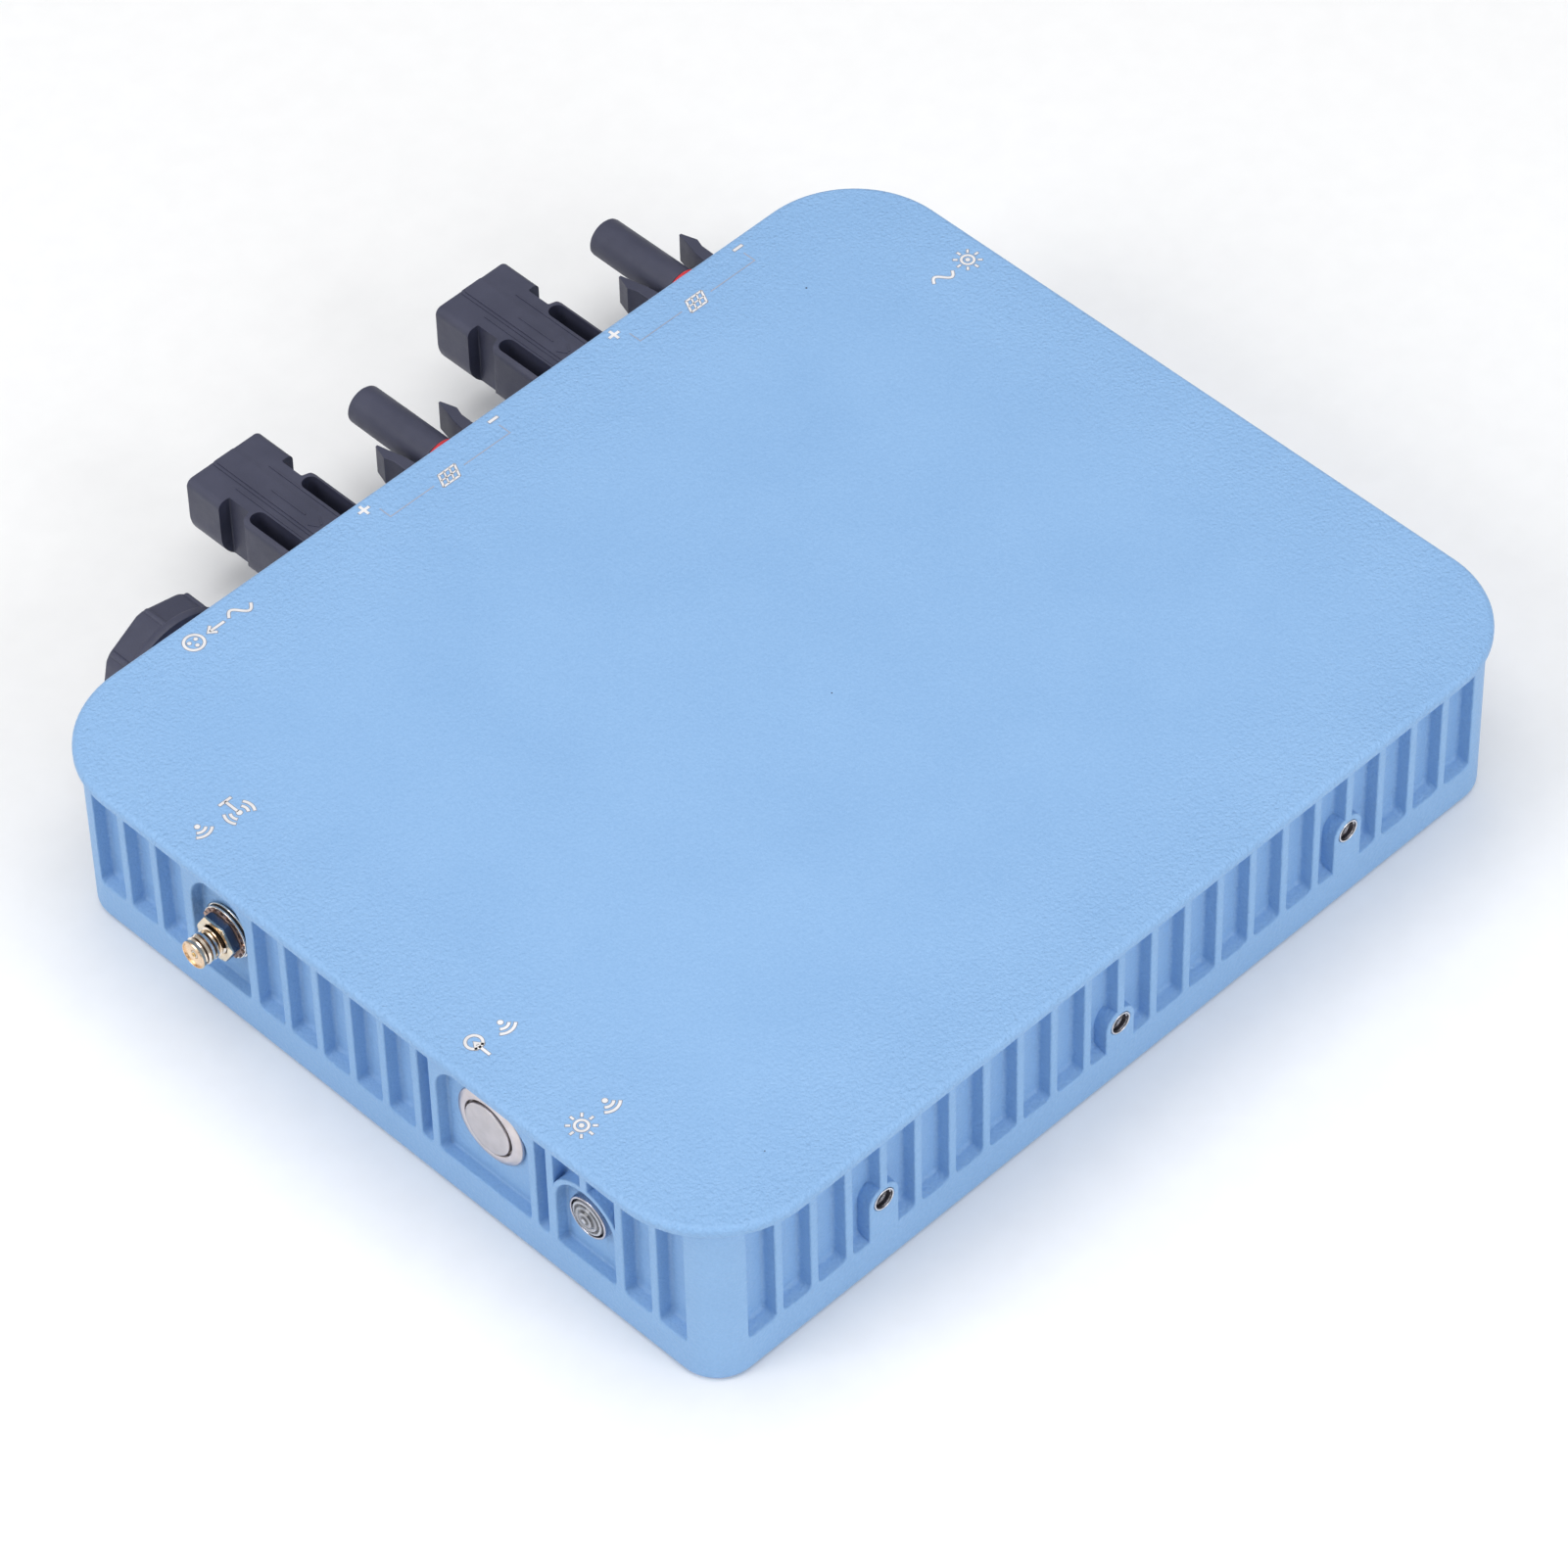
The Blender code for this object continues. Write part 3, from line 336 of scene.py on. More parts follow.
@dataclass(frozen=True)
class BoardMask:
    """Green solder resist over copper tracks, with the pads and tracks showing through."""

    name: str = "solder_resist"
    colour: Colour = (0.012, 0.13, 0.055)
    track: Colour = (0.03, 0.24, 0.10)

    def make(self) -> bpy.types.Material:
        """Draws the material."""
        sketch = ShaderSketch(self.name, self.colour, 0.35)
        bricks = {
            "Vector": sketch.place,
            "Scale": 60.0,
            "Mortar Size": 0.03,
            "Brick Width": 0.9,
            "Row Height": 0.28,
        }
        lines = sketch.node("ShaderNodeTexBrick", None, bricks).outputs["Fac"]
        sketch.tint(lines, self.track, self.colour)
        sketch.rough(sketch.ramp(sketch.noise(2 * MM), 0.3, 0.7, 0.28, 0.42))
        sketch.bump(lines, 0.03 * MM)
        return sketch.material


FinishKind = PowderCoat | Moulded | Metal | ClearLens | BoardMask
BLUE: tuple[Colour, Colour] = ((0.272, 0.470, 0.756), (0.232, 0.420, 0.700))
GOLD: tuple[Colour, Colour] = ((0.86, 0.61, 0.27), (0.74, 0.50, 0.22))
STEEL: tuple[Colour, Colour] = ((0.64, 0.61, 0.62), (0.55, 0.53, 0.54))
NICKEL: tuple[Colour, Colour] = ((0.66, 0.63, 0.59), (0.52, 0.49, 0.46))
TIN: tuple[Colour, Colour] = ((0.70, 0.70, 0.71), (0.58, 0.58, 0.60))


class Shelf:
    """Keeps one material for each finish."""

    def __init__(self) -> None:
        """Starts with no material."""
        self.made: dict[str, bpy.types.Material] = {}

    def take(self, finish: FinishKind) -> bpy.types.Material:
        """Returns the finish's material, made on its first use."""
        if finish.name not in self.made:
            self.made[finish.name] = finish.make()
        return self.made[finish.name]


SHELF = Shelf()
BODY_COAT = PowderCoat("body_powder_coat", *BLUE)
PLASTIC = Moulded(
    "connector_plastic",
    (0.056, 0.059, 0.098),
    (0.046, 0.049, 0.084),
    grain=0.3 * MM,
    relief=0.035 * MM,
)
BLACK = Moulded(
    "black_rubber", (0.016, 0.016, 0.017), (0.011, 0.011, 0.012), (0.62, 0.80), 0.3 * MM
)
RED = Moulded("seal_silicone", (0.72, 0.030, 0.045), (0.60, 0.022, 0.035), (0.35, 0.50), 0.3 * MM)
WHITE = Moulded("white_insulator", (0.80, 0.77, 0.70), (0.72, 0.69, 0.62), (0.30, 0.45), 0.3 * MM)
PRINT = Moulded("silver_print", (0.84, 0.83, 0.84), (0.70, 0.68, 0.68), (0.45, 0.60), 0.35 * MM)
RIM_PRINT = Moulded("print_rim", (0.26, 0.27, 0.33), (0.22, 0.25, 0.33), (0.45, 0.60), 0.35 * MM)
LINE_PRINT = Moulded(
    "fine_line_print", (0.36, 0.40, 0.50), (0.30, 0.36, 0.48), (0.45, 0.60), 0.35 * MM
)
PLAIN_STEEL = Metal("stainless_steel", *STEEL)
PLAIN_NICKEL = Metal("nickel_plating", *NICKEL)
PLAIN_TIN = Metal("tinned_contact", *TIN)


# Outlines


def circle(radius: float, steps: int, start: float = 0.0) -> Outline:
    """Returns a circle whose first point is start steps past the +X direction."""
    turns = [2 * math.pi * (step + start) / steps for step in range(steps)]
    return [(radius * math.cos(turn), radius * math.sin(turn)) for turn in turns]


def rounded_box(
    left: float,
    right: float,
    low: float,
    high: float,
    round_low: float,
    round_high: float,
    steps: int = 6,
) -> Outline:
    """Returns a rectangle with round corners.

    Args:
        left: Left side.
        right: Right side.
        low: Lower side.
        high: Upper side.
        round_low: Radius of the two lower corners.
        round_high: Radius of the two upper corners.
        steps: Segments round each corner.

    Returns:
        Its points, anticlockwise from the right end of the upper right corner.
    """
    corners = (
        (right - round_high, high - round_high, round_high),
        (left + round_high, high - round_high, round_high),
        (left + round_low, low + round_low, round_low),
        (right - round_low, low + round_low, round_low),
    )
    points = []
    for quarter, (x, y, radius) in enumerate(corners):
        for step in range(steps + 1):
            turn = math.pi / 2 * (quarter + step / steps)
            points.append((x + radius * math.cos(turn), y + radius * math.sin(turn)))
    return points


def centred_box(half_x: float, half_y: float, radius: float, steps: int = 6) -> Outline:
    """Returns a centred rectangle with round corners."""
    return rounded_box(-half_x, half_x, -half_y, half_y, radius, radius, steps)


def polygon_round(
    flat: float, corner: float, sides: int, steps: int, start: float = 0.0
) -> Outline:
    """Returns a regular polygon whose corners are cut back to the corner radius."""
    outline = []
    for step in range(steps):
        turn = 2 * math.pi * step / steps
        from_flat = (turn - start) % (2 * math.pi / sides) - math.pi / sides
        radius = min(flat / math.cos(from_flat), corner)
        outline.append((radius * math.cos(turn), radius * math.sin(turn)))
    return outline


def moved(outline: Outline, x: float, y: float) -> Outline:
    """Returns the outline shifted by (x, y)."""
    return [(u + x, v + y) for u, v in outline]


def filleted(path: Sequence[tuple[float, ...]], steps: int = 4) -> Outline:
    """Rounds an open path.

    Args:
        path: Points as (a, b) or (a, b, radius), the radius being that of the corner there.
        steps: Segments in each rounded corner.

    Returns:
        The rounded path.
    """
    found: Outline = []
    for index, point in enumerate(path):
        here = Vector(point[:2])
        radius = point[2] if len(point) > 2 else 0.0
        if radius <= 0 or index in (0, len(path) - 1):
            found.append((here.x, here.y))
            continue
        back = Vector(path[index - 1][:2]) - here
        ahead = Vector(path[index + 1][:2]) - here
        half = back.angle(ahead) / 2
        reach = min(radius / math.tan(half), 0.49 * back.length, 0.49 * ahead.length)
        size = reach * math.tan(half)
        middle = here + (
            back.normalized() + ahead.normalized()
        ).normalized() * (size / math.sin(half))
        first = here + back.normalized() * reach - middle
        swing = first.angle_signed(here + ahead.normalized() * reach - middle)
        for step in range(steps + 1):
            arm = Matrix.Rotation(-swing * step / steps, 2) @ first
            found.append((middle.x + arm.x, middle.y + arm.y))
    return found


def stroke(path: Sequence[tuple[float, float]], width: float) -> Outline:
    """Returns the outline of a line of the given width along the path, with mitred bends."""
    points = [Vector(point) for point in path]
    left, right = [], []
    for index, here in enumerate(points):
        before = (here - points[index - 1]).normalized() if index else None
        after = (points[index + 1] - here).normalized() if index < len(points) - 1 else None
        along = ((before or after) + (after or before)).normalized()
        side = Vector((-along.y, along.x))
        edge = before or after
        stretch = 1 / max(0.4, side.dot(Vector((-edge.y, edge.x))))
        left.append(here + side * (stretch * width / 2))
        right.append(here - side * (stretch * width / 2))
    return [(p.x, p.y) for p in right + left[::-1]]


def eased(depth: float, mouth: float, foot: float, steps: int = 3) -> list[tuple[float, float]]:
    """Returns (depth, widening) down a cast hollow: a rounded mouth, then a filleted floor."""
    found = [(-MM, mouth)]
    for step in range(steps + 1):
        turn = math.pi / 2 * step / steps
        found.append((mouth * (1 - math.cos(turn)), mouth * (1 - math.sin(turn))))
    for step in range(steps + 1):
        turn = math.pi / 2 * step / steps
        found.append((depth - foot + foot * math.sin(turn), -foot * (1 - math.cos(turn))))
    return found


# Solids


class Shape:
    """A mesh under construction."""

    def __init__(self) -> None:
        """Starts empty."""
        self.bm = bmesh.new()

    def skin(self, sections: Sequence[Section], closed: bool = False) -> Shape:
        """Joins (height, outline) sections into a closed solid; a closed skin returns to its first
        one.
        """
        rings = [[self.bm.verts.new((x, y, z)) for x, y in outline] for z, outline in sections]
        return self.join(rings, closed)

    def join(self, rings: list[list[bmesh.types.BMVert]], closed: bool = False) -> Shape:
        """Joins rings of vertices with faces, and caps the ends of an open skin."""
        count = len(rings[0])
        following = rings[1:] + rings[:1] if closed else rings[1:]
        for lower, upper in zip(rings, following):
            for index in range(count):
                after = (index + 1) % count
                self.bm.faces.new((lower[index], lower[after], upper[after], upper[index]))
        if not closed:
            self.bm.faces.new(rings[0])
            self.bm.faces.new(rings[-1])
        return self

    def turned(
        self, profile: Sequence[tuple[float, ...]], steps: int = 64, closed: bool = False
    ) -> Shape:
        """Adds a solid of revolution about Z from (radius, height) or (radius, height, fillet)
        points.
        """
        if closed:
            path = filleted([profile[-1], *profile, profile[0]])[1:-1]
        else:
            path = filleted(profile)
        return self.skin(
            [(height, circle(max(radius, 0.02 * MM), steps)) for radius, height in path], closed
        )

    def prism(self, outline: Outline, low: float, high: float) -> Shape:
        """Adds a prism between two heights."""
        return self.skin([(low, outline), (high, outline)])

    def build(self, name: str, frame: Matrix | None = None) -> bpy.types.Object:
        """Turns the shape into an object.

        Args:
            name: The object's name.
            frame: Where the shape's own coordinates stand in the model.

        Returns:
            The object, at the origin, with its place in its mesh.
        """
        bmesh.ops.recalc_face_normals(self.bm, faces=self.bm.faces)
        mesh = bpy.data.meshes.new(name)
        self.bm.to_mesh(mesh)
        self.bm.free()
        if frame is not None:
            mesh.transform(frame)
        made = bpy.data.objects.new(name, mesh)
        bpy.context.scene.collection.objects.link(made)
        return made


def settle_modifiers(piece: bpy.types.Object) -> bpy.types.Object:
    """Replaces the object's mesh with what its modifiers make of it, and returns the object."""
    graph = bpy.context.evaluated_depsgraph_get()
    mesh = bpy.data.meshes.new_from_object(piece.evaluated_get(graph), depsgraph=graph)
    piece.modifiers.clear()
    old = piece.data
    piece.data = mesh
    bpy.data.meshes.remove(old)
    return piece


def combine(piece: bpy.types.Object, tool: bpy.types.Object, operation: str) -> bpy.types.Object:
    """Cuts the tool from the piece or adds it, drops the tool, and returns the piece."""
    modifier = piece.modifiers.new("combine", "BOOLEAN")
    modifier.operation = operation
    modifier.solver = "EXACT"
    modifier.object = tool
    settle_modifiers(piece)
    discard(tool)
    return piece


def discard(*tools: bpy.types.Object) -> None:
    """Removes helper objects and their meshes."""
    for tool in tools:
        mesh = tool.data
        bpy.data.objects.remove(tool)
        bpy.data.meshes.remove(mesh)


def dress(
    piece: bpy.types.Object,
    finish: FinishKind,
    body: str,
    nodes: Iterable[str] = (),
    sharp: float = 34.0,
) -> bpy.types.Object:
    """Finishes a piece and ties it to the frame.

    Args:
        piece: The object, with its final mesh.
        finish: Its finish.
        body: The body that it rides on.
        nodes: The solids that it stands for.
        sharp: Edges bent more than this, in degrees, stay crisp.

    Returns:
        The piece.
    """
    mesh = piece.data
    mesh.materials.clear()
    mesh.materials.append(SHELF.take(finish))
    mesh.shade_smooth()
    mesh.set_sharp_from_angle(angle=math.radians(sharp))
    normals = piece.modifiers.new("even_shading", "WEIGHTED_NORMAL")
    normals.keep_sharp = True
    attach(piece, body)
    if nodes:
        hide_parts(*nodes)
    LOG.info("%s on %s: %d faces", piece.name, body, len(mesh.polygons))
    return piece


# Geometry Nodes


class GeometryTree:
    """A Geometry Nodes tree with named inputs that ends in Realize Instances and Set Material."""

    def __init__(self, name: str) -> None:
        """Starts the tree with its base geometry and its material input."""
        self.tree = bpy.data.node_groups.new(name, "GeometryNodeTree")
        self.tree.interface.new_socket(
            "Geometry", in_out="OUTPUT", socket_type="NodeSocketGeometry"
        )
        self.identifiers: dict[str, str] = {}
        self.inlet = self.tree.nodes.new("NodeGroupInput")
        self.base = self.input("Geometry", "NodeSocketGeometry")
        self.finish = self.input("Finish", "NodeSocketMaterial")

    def input(self, name: str, kind: str) -> bpy.types.NodeSocket:
        """Adds a named input and returns its socket inside the tree."""
        made = self.tree.interface.new_socket(name, in_out="INPUT", socket_type=kind)
        self.identifiers[name] = made.identifier
        return self.inlet.outputs[name]

    def node(
        self, kind: str, settings: dict | None = None, inputs: dict | None = None
    ) -> bpy.types.Node:
        """Adds a node with its settings and its inputs, as values or sockets, and returns it."""
        made = self.tree.nodes.new(kind)
        for key, value in (settings or {}).items():
            setattr(made, key, value)
        for key, value in (inputs or {}).items():
            if isinstance(value, bpy.types.NodeSocket):
                self.tree.links.new(value, made.inputs[key])
            else:
                made.inputs[key].default_value = value
        return made

    def end(self, result: bpy.types.NodeSocket) -> GeometryTree:
        """Realizes the result, gives it its material and closes the tree."""
        real = self.node("GeometryNodeRealizeInstances", None, {"Geometry": result})
        set_up = {"Geometry": real.outputs[0], "Material": self.finish}
        painted = self.node("GeometryNodeSetMaterial", None, set_up)
        outlet = self.tree.nodes.new("NodeGroupOutput")
        self.tree.links.new(painted.outputs[0], outlet.inputs["Geometry"])
        return self

    def apply(
        self, piece: bpy.types.Object, finish: FinishKind, **values: object
    ) -> bpy.types.Object:
        """Runs the tree on the object and keeps the result as its mesh.

        Args:
            piece: The object whose mesh is the base geometry.
            finish: The finish that the tree sets.
            **values: The other inputs, by name, with _ for a space.

        Returns:
            The object.
        """
        modifier = piece.modifiers.new(self.tree.name, "NODES")
        modifier.node_group = self.tree
        modifier[self.identifiers["Finish"]] = SHELF.take(finish)
        for name, value in values.items():
            modifier[self.identifiers[name.replace("_", " ")]] = value
        return settle_modifiers(piece)


def copies_of(
    tree: GeometryTree, points: bpy.types.NodeSocket, turn: bpy.types.NodeSocket
) -> bpy.types.NodeSocket:
    """Adds the nodes that put the Source object on points, and returns the instances."""
    source = tree.node(
        "GeometryNodeObjectInfo", None, {"Object": tree.input("Source", "NodeSocketObject")}
    )
    inputs = {"Points": points, "Instance": source.outputs["Geometry"], "Rotation": turn}
    return tree.node("GeometryNodeInstanceOnPoints", None, inputs).outputs[0]


def turned_by(tree: GeometryTree, euler: bpy.types.NodeSocket) -> bpy.types.NodeSocket:
    """Adds the node that makes a rotation of an Euler vector, and returns it."""
    return tree.node("FunctionNodeEulerToRotation", None, {0: euler}).outputs[0]


def row_cutter() -> GeometryTree:
    """Returns the tree that cuts a row of copies of the source from the base."""
    tree = GeometryTree("row_cutter")
    line = {
        "Count": tree.input("Count", "NodeSocketInt"),
        "Start Location": tree.input("First", "NodeSocketVector"),
        "Offset": tree.input("Pitch", "NodeSocketVector"),
    }
    row = tree.node("GeometryNodeMeshLine", {"mode": "OFFSET"}, line)
    turn = turned_by(tree, tree.input("Turn", "NodeSocketVector"))
    copies = tree.node(
        "GeometryNodeRealizeInstances", None, {0: copies_of(tree, row.outputs[0], turn)}
    )
    cut = tree.node("GeometryNodeMeshBoolean", {"operation": "DIFFERENCE", "solver": "EXACT"})
    tree.tree.links.new(tree.base, cut.inputs[0])
    tree.tree.links.new(copies.outputs[0], cut.inputs[1])
    return tree.end(cut.outputs[0])


def copies_at_points() -> GeometryTree:
    """Returns the tree that puts a copy of the source on each of the base's points."""
    tree = GeometryTree("copies_at_points")
    turn = turned_by(tree, tree.input("Turn", "NodeSocketVector"))
    return tree.end(copies_of(tree, tree.base, turn))


def copies_round_axis() -> GeometryTree:
    """Returns the tree that adds copies of the source round the Z axis to the base."""
    tree = GeometryTree("copies_round_axis")
    count = tree.input("Count", "NodeSocketInt")
    ring = {"Vertices": count, "Radius": tree.input("Radius", "NodeSocketFloat")}
    points = tree.node("GeometryNodeMeshCircle", None, ring).outputs[0]
    share = tree.node(
        "ShaderNodeMath", {"operation": "DIVIDE"}, {0: 2 * math.pi, 1: count}
    ).outputs[0]
    index = tree.node("GeometryNodeInputIndex").outputs[0]
    angle = tree.node("ShaderNodeMath", {"operation": "MULTIPLY"}, {0: index, 1: share}).outputs[0]
    euler = tree.node("ShaderNodeCombineXYZ", None, {2: angle}).outputs[0]
    copies = copies_of(tree, points, turned_by(tree, euler))
    both = tree.node("GeometryNodeJoinGeometry")
    tree.tree.links.new(copies, both.inputs[0])
    tree.tree.links.new(tree.base, both.inputs[0])
    return tree.end(both.outputs[0])


def thread_round_axis() -> GeometryTree:
    """Returns the tree that adds a helical ridge about the Z axis to the base."""
    tree = GeometryTree("thread_round_axis")
    radius = tree.input("Radius", "NodeSocketFloat")
    line = {
        "Resolution": 40,
        "Rotations": tree.input("Turns", "NodeSocketFloat"),
        "Start Radius": radius,
        "End Radius": radius,
        "Height": tree.input("Length", "NodeSocketFloat"),
    }
    helix = tree.node("GeometryNodeCurveSpiral", None, line).outputs[0]
    start = tree.node("ShaderNodeCombineXYZ", None, {2: tree.input("Start", "NodeSocketFloat")})
    lifted = tree.node(
        "GeometryNodeTransform", None, {"Geometry": helix, "Translation": start.outputs[0]}
    )
    section = {"Resolution": 4, "Radius": tree.input("Ridge", "NodeSocketFloat")}
    ridge = tree.node("GeometryNodeCurvePrimitiveCircle", None, section)
    wire = {"Curve": lifted.outputs[0], "Profile Curve": ridge.outputs[0], "Fill Caps": True}
    thread = tree.node("GeometryNodeCurveToMesh", None, wire)
    both = tree.node("GeometryNodeJoinGeometry")
    tree.tree.links.new(thread.outputs[0], both.inputs[0])
    tree.tree.links.new(tree.base, both.inputs[0])
    return tree.end(both.outputs[0])


@dataclass
class Trees:
    """The Geometry Nodes trees that the sub-assemblies share."""

    cut_row: GeometryTree
    at_points: GeometryTree
    round_axis: GeometryTree
    thread: GeometryTree

    @classmethod
    def grow(cls) -> Trees:
        """Builds every tree once."""
        return cls(row_cutter(), copies_at_points(), copies_round_axis(), thread_round_axis())


# Walls


class Side(Enum):
    """The four walls, each as its outward direction and the direction along it."""

    ANTENNA = ((1, 0, 0), (0, 1, 0))
    LAMP = ((-1, 0, 0), (0, -1, 0))
    BRACKET = ((0, 1, 0), (-1, 0, 0))
    CONNECTOR = ((0, -1, 0), (1, 0, 0))

    @property
    def normal(self) -> Vector:
        """The outward direction."""
        return Vector(self.value[0])

    @property
    def along(self) -> Vector:
        """The direction along the wall."""
        return Vector(self.value[1])

    def frame(self, origin: Sequence[float]) -> Matrix:
        """Returns the wall's own coordinates about an origin in the model."""
        found = Matrix((self.along, Vector((0, 0, 1)), self.normal)).transposed().to_4x4()
        found.translation = Vector(origin)
        return found

    def half(self) -> float:
        """Returns how far the wall's face stands from the middle."""
        low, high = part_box("housing_tray")
        return max(abs(self.normal.dot(low)), abs(self.normal.dot(high)))

    def spot(self, node: str, depth: float = 0.0) -> Vector:
        """Returns the point of the wall's face, or depth behind it, that is in line with a solid.
        """
        low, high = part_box(node)
        middle = (low + high) / 2
        return middle + self.normal * (self.half() - depth - self.normal.dot(middle))

    def place(self, node: str) -> tuple[float, float]:
        """Returns a solid's place along the wall and its height."""
        low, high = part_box(node)
        middle = (low + high) / 2
        return self.along.dot(middle), middle.z


@dataclass
class HousingTray:
    """The die-cast tray with its rows of cooling pockets."""

    trees: Trees
    pitch: float = 9.0 * MM
    rib: float = 1.95 * MM
    depth: float = 3.3 * MM
    sill: float = 9.3 * MM
    rise: float = 0.9 * MM
    recess: float = 2.9 * MM
    wall: float = 7.0 * MM
    floor: float = 3.0 * MM
    corner: float = 8.6 * MM
    foot: float = 1.8 * MM
    arch: float = 7.6 * MM
    arch_wall: float = 1.35 * MM
    button_half: float = 12.2 * MM
    boss: float = 3.8 * MM
    column: float = 5.4 * MM
    column_top: float = 38.0 * MM
    board_low: float = 9.7 * MM

    def build(self) -> bpy.types.Object:
        """Builds the tray and returns it."""
        _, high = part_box("housing_tray")
        self.half_x, self.half_y, self.height = high.x, high.y, high.z
        tray = self.body()
        cavity = Shape().prism(
            centred_box(
                self.half_x - self.wall, self.half_y - self.wall, 5 * MM
            ), self.floor, self.height + MM
        )
        combine(tray, cavity.build("cavity"), "DIFFERENCE")
        combine(tray, self.inner_metal().build("inner_metal"), "UNION")
        self.cut_rows(tray)
        combine(tray, self.special_hollows(), "DIFFERENCE")
        combine(tray, self.bosses(), "UNION")
        combine(tray, self.holes(), "DIFFERENCE")
        return dress(tray, BODY_COAT, HOUSING, ["housing_tray"])

    def body(self) -> bpy.types.Object:
        """Returns the outer body, rounded at its foot."""
        sections = []
        for step in range(7):
            turn = math.pi / 2 * step / 6
            inset = self.foot * (1 - math.sin(turn))
            outline = centred_box(
                self.half_x - inset, self.half_y - inset, self.corner - inset, 12
            )
            sections.append((self.foot * (1 - math.cos(turn)), outline))
        sections.append((self.height, centred_box(self.half_x, self.half_y, self.corner, 12)))
        return Shape().skin(sections).build("housing_tray_shell")

    def columns(self) -> list[tuple[float, float]]:
        """Returns the places of the four screw columns."""
        found = []
        for number in (1, 2, 3, 4):
            low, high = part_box(f"lid_screw_{number}")
            found.append(((low.x + high.x) / 2, (low.y + high.y) / 2))
        return found

    def posts(self) -> list[tuple[float, float]]:
        """Returns the places of the four board posts."""
        found = []
        for number in (1, 2, 3, 4):
            low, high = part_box(f"board_screw_{number}")
            found.append(((low.x + high.x) / 2, (low.y + high.y) / 2))
        return found

    def inner_metal(self) -> Shape:
        """Returns the screw columns and the board posts."""
        shape = Shape()
        for x, y in self.columns():
            shape.prism(moved(circle(self.column, 32), x, y), self.floor - MM, self.column_top)
        for x, y in self.posts():
            shape.prism(moved(circle(4 * MM, 24), x, y), self.floor - MM, self.board_low)
        return shape

    def pocket(self, name: str, half: float) -> bpy.types.Object:
        """Returns the solid of one pocket, in its wall's own coordinates."""
        sections = []
        for depth, widening in eased(self.depth, 0.35 * MM, 0.8 * MM):
            sill = self.sill + self.rise * max(0.0, depth) / self.depth - widening
            wide = half + widening - 0.15 * MM * max(0.0, depth) / self.depth
            low_round = min(1.3 * MM + widening * 0.5, 0.9 * wide)
            outline = rounded_box(-wide, wide, sill, self.height + 2 * MM, low_round, 0.05 * MM, 5)
            sections.append((-depth, outline))
        return Shape().skin(sections).build(name)

    def rows(self) -> list[tuple[Side, float, int]]:
        """Returns (wall, first pocket's place, number of pockets) of each unbroken row."""
        pitch = self.pitch
        blocked: dict[Side, list[tuple[float, float]]] = {side: [] for side in Side}
        blocked[Side.ANTENNA].append((Side.ANTENNA.place("antenna_hex_nut")[0], pitch))
        blocked[Side.ANTENNA].append((Side.ANTENNA.place("button_cap")[0], 2 * pitch))
        blocked[Side.ANTENNA].append((Side.ANTENNA.place("wireless_lamp_lens")[0], pitch))
        blocked[Side.LAMP].append((Side.LAMP.place("inverter_lamp_lens")[0], pitch))
        for number in (1, 2):
            for pole in ("plus", "minus"):
                spot = Side.CONNECTOR.place(f"solar_{pole}_nut_{number}")[0]
                blocked[Side.CONNECTOR].append((spot, 1.35 * pitch))
        blocked[Side.CONNECTOR].append((Side.CONNECTOR.place("ac_lock_nut")[0], 1.9 * pitch))
        counts = {Side.ANTENNA: 9, Side.LAMP: 9, Side.BRACKET: 11, Side.CONNECTOR: 11}
        found: list[tuple[Side, float, int]] = []
        for side, count in counts.items():
            run: list[float] = []
            for number in range(-count, count + 1):
                centre = (number + 0.5) * pitch
                free = all(abs(centre - spot) > reach for spot, reach in blocked[side])
                if number < count and free:
                    run.append(centre)
                elif run:
                    found.append((side, run[0], len(run)))
                    run = []
        return found

    def cut_rows(self, tray: bpy.types.Object) -> None:
        """Cuts every row of pockets from the tray."""
        pocket = self.pocket("pocket_solid", (self.pitch - self.rib) / 2)
        for side, first, count in self.rows():
            start = side.normal * side.half() + side.along * first
            turn = side.frame(start).to_euler()
            self.trees.cut_row.apply(
                tray,
                BODY_COAT,
                Source=pocket,
                Count=count,
                First=tuple(start),
                Pitch=tuple(side.along * self.pitch),
                Turn=tuple(turn),
            )
        discard(pocket)

    def recess_solid(
        self, shape: Shape, side: Side, node: str, half: float, top: float, radius: float
    ) -> None:
        """Adds the solid of an arched recess in line with a solid to the shape."""
        place, _ = side.place(node)
        frame = side.frame(side.normal * side.half() + side.along * place)
        rings = []
        for depth, widening in eased(self.recess, 0.4 * MM, 0.5 * MM):
            wide = half + widening
            outline = rounded_box(
                -wide,
                wide,
                self.sill + 0.1 * MM - widening,
                top + widening,
                1.1 * MM + widening * 0.5,
                radius + widening,
                10,
            )
            rings.append([shape.bm.verts.new(frame @ Vector((x, y, -depth))) for x, y in outline])
        shape.join(rings)

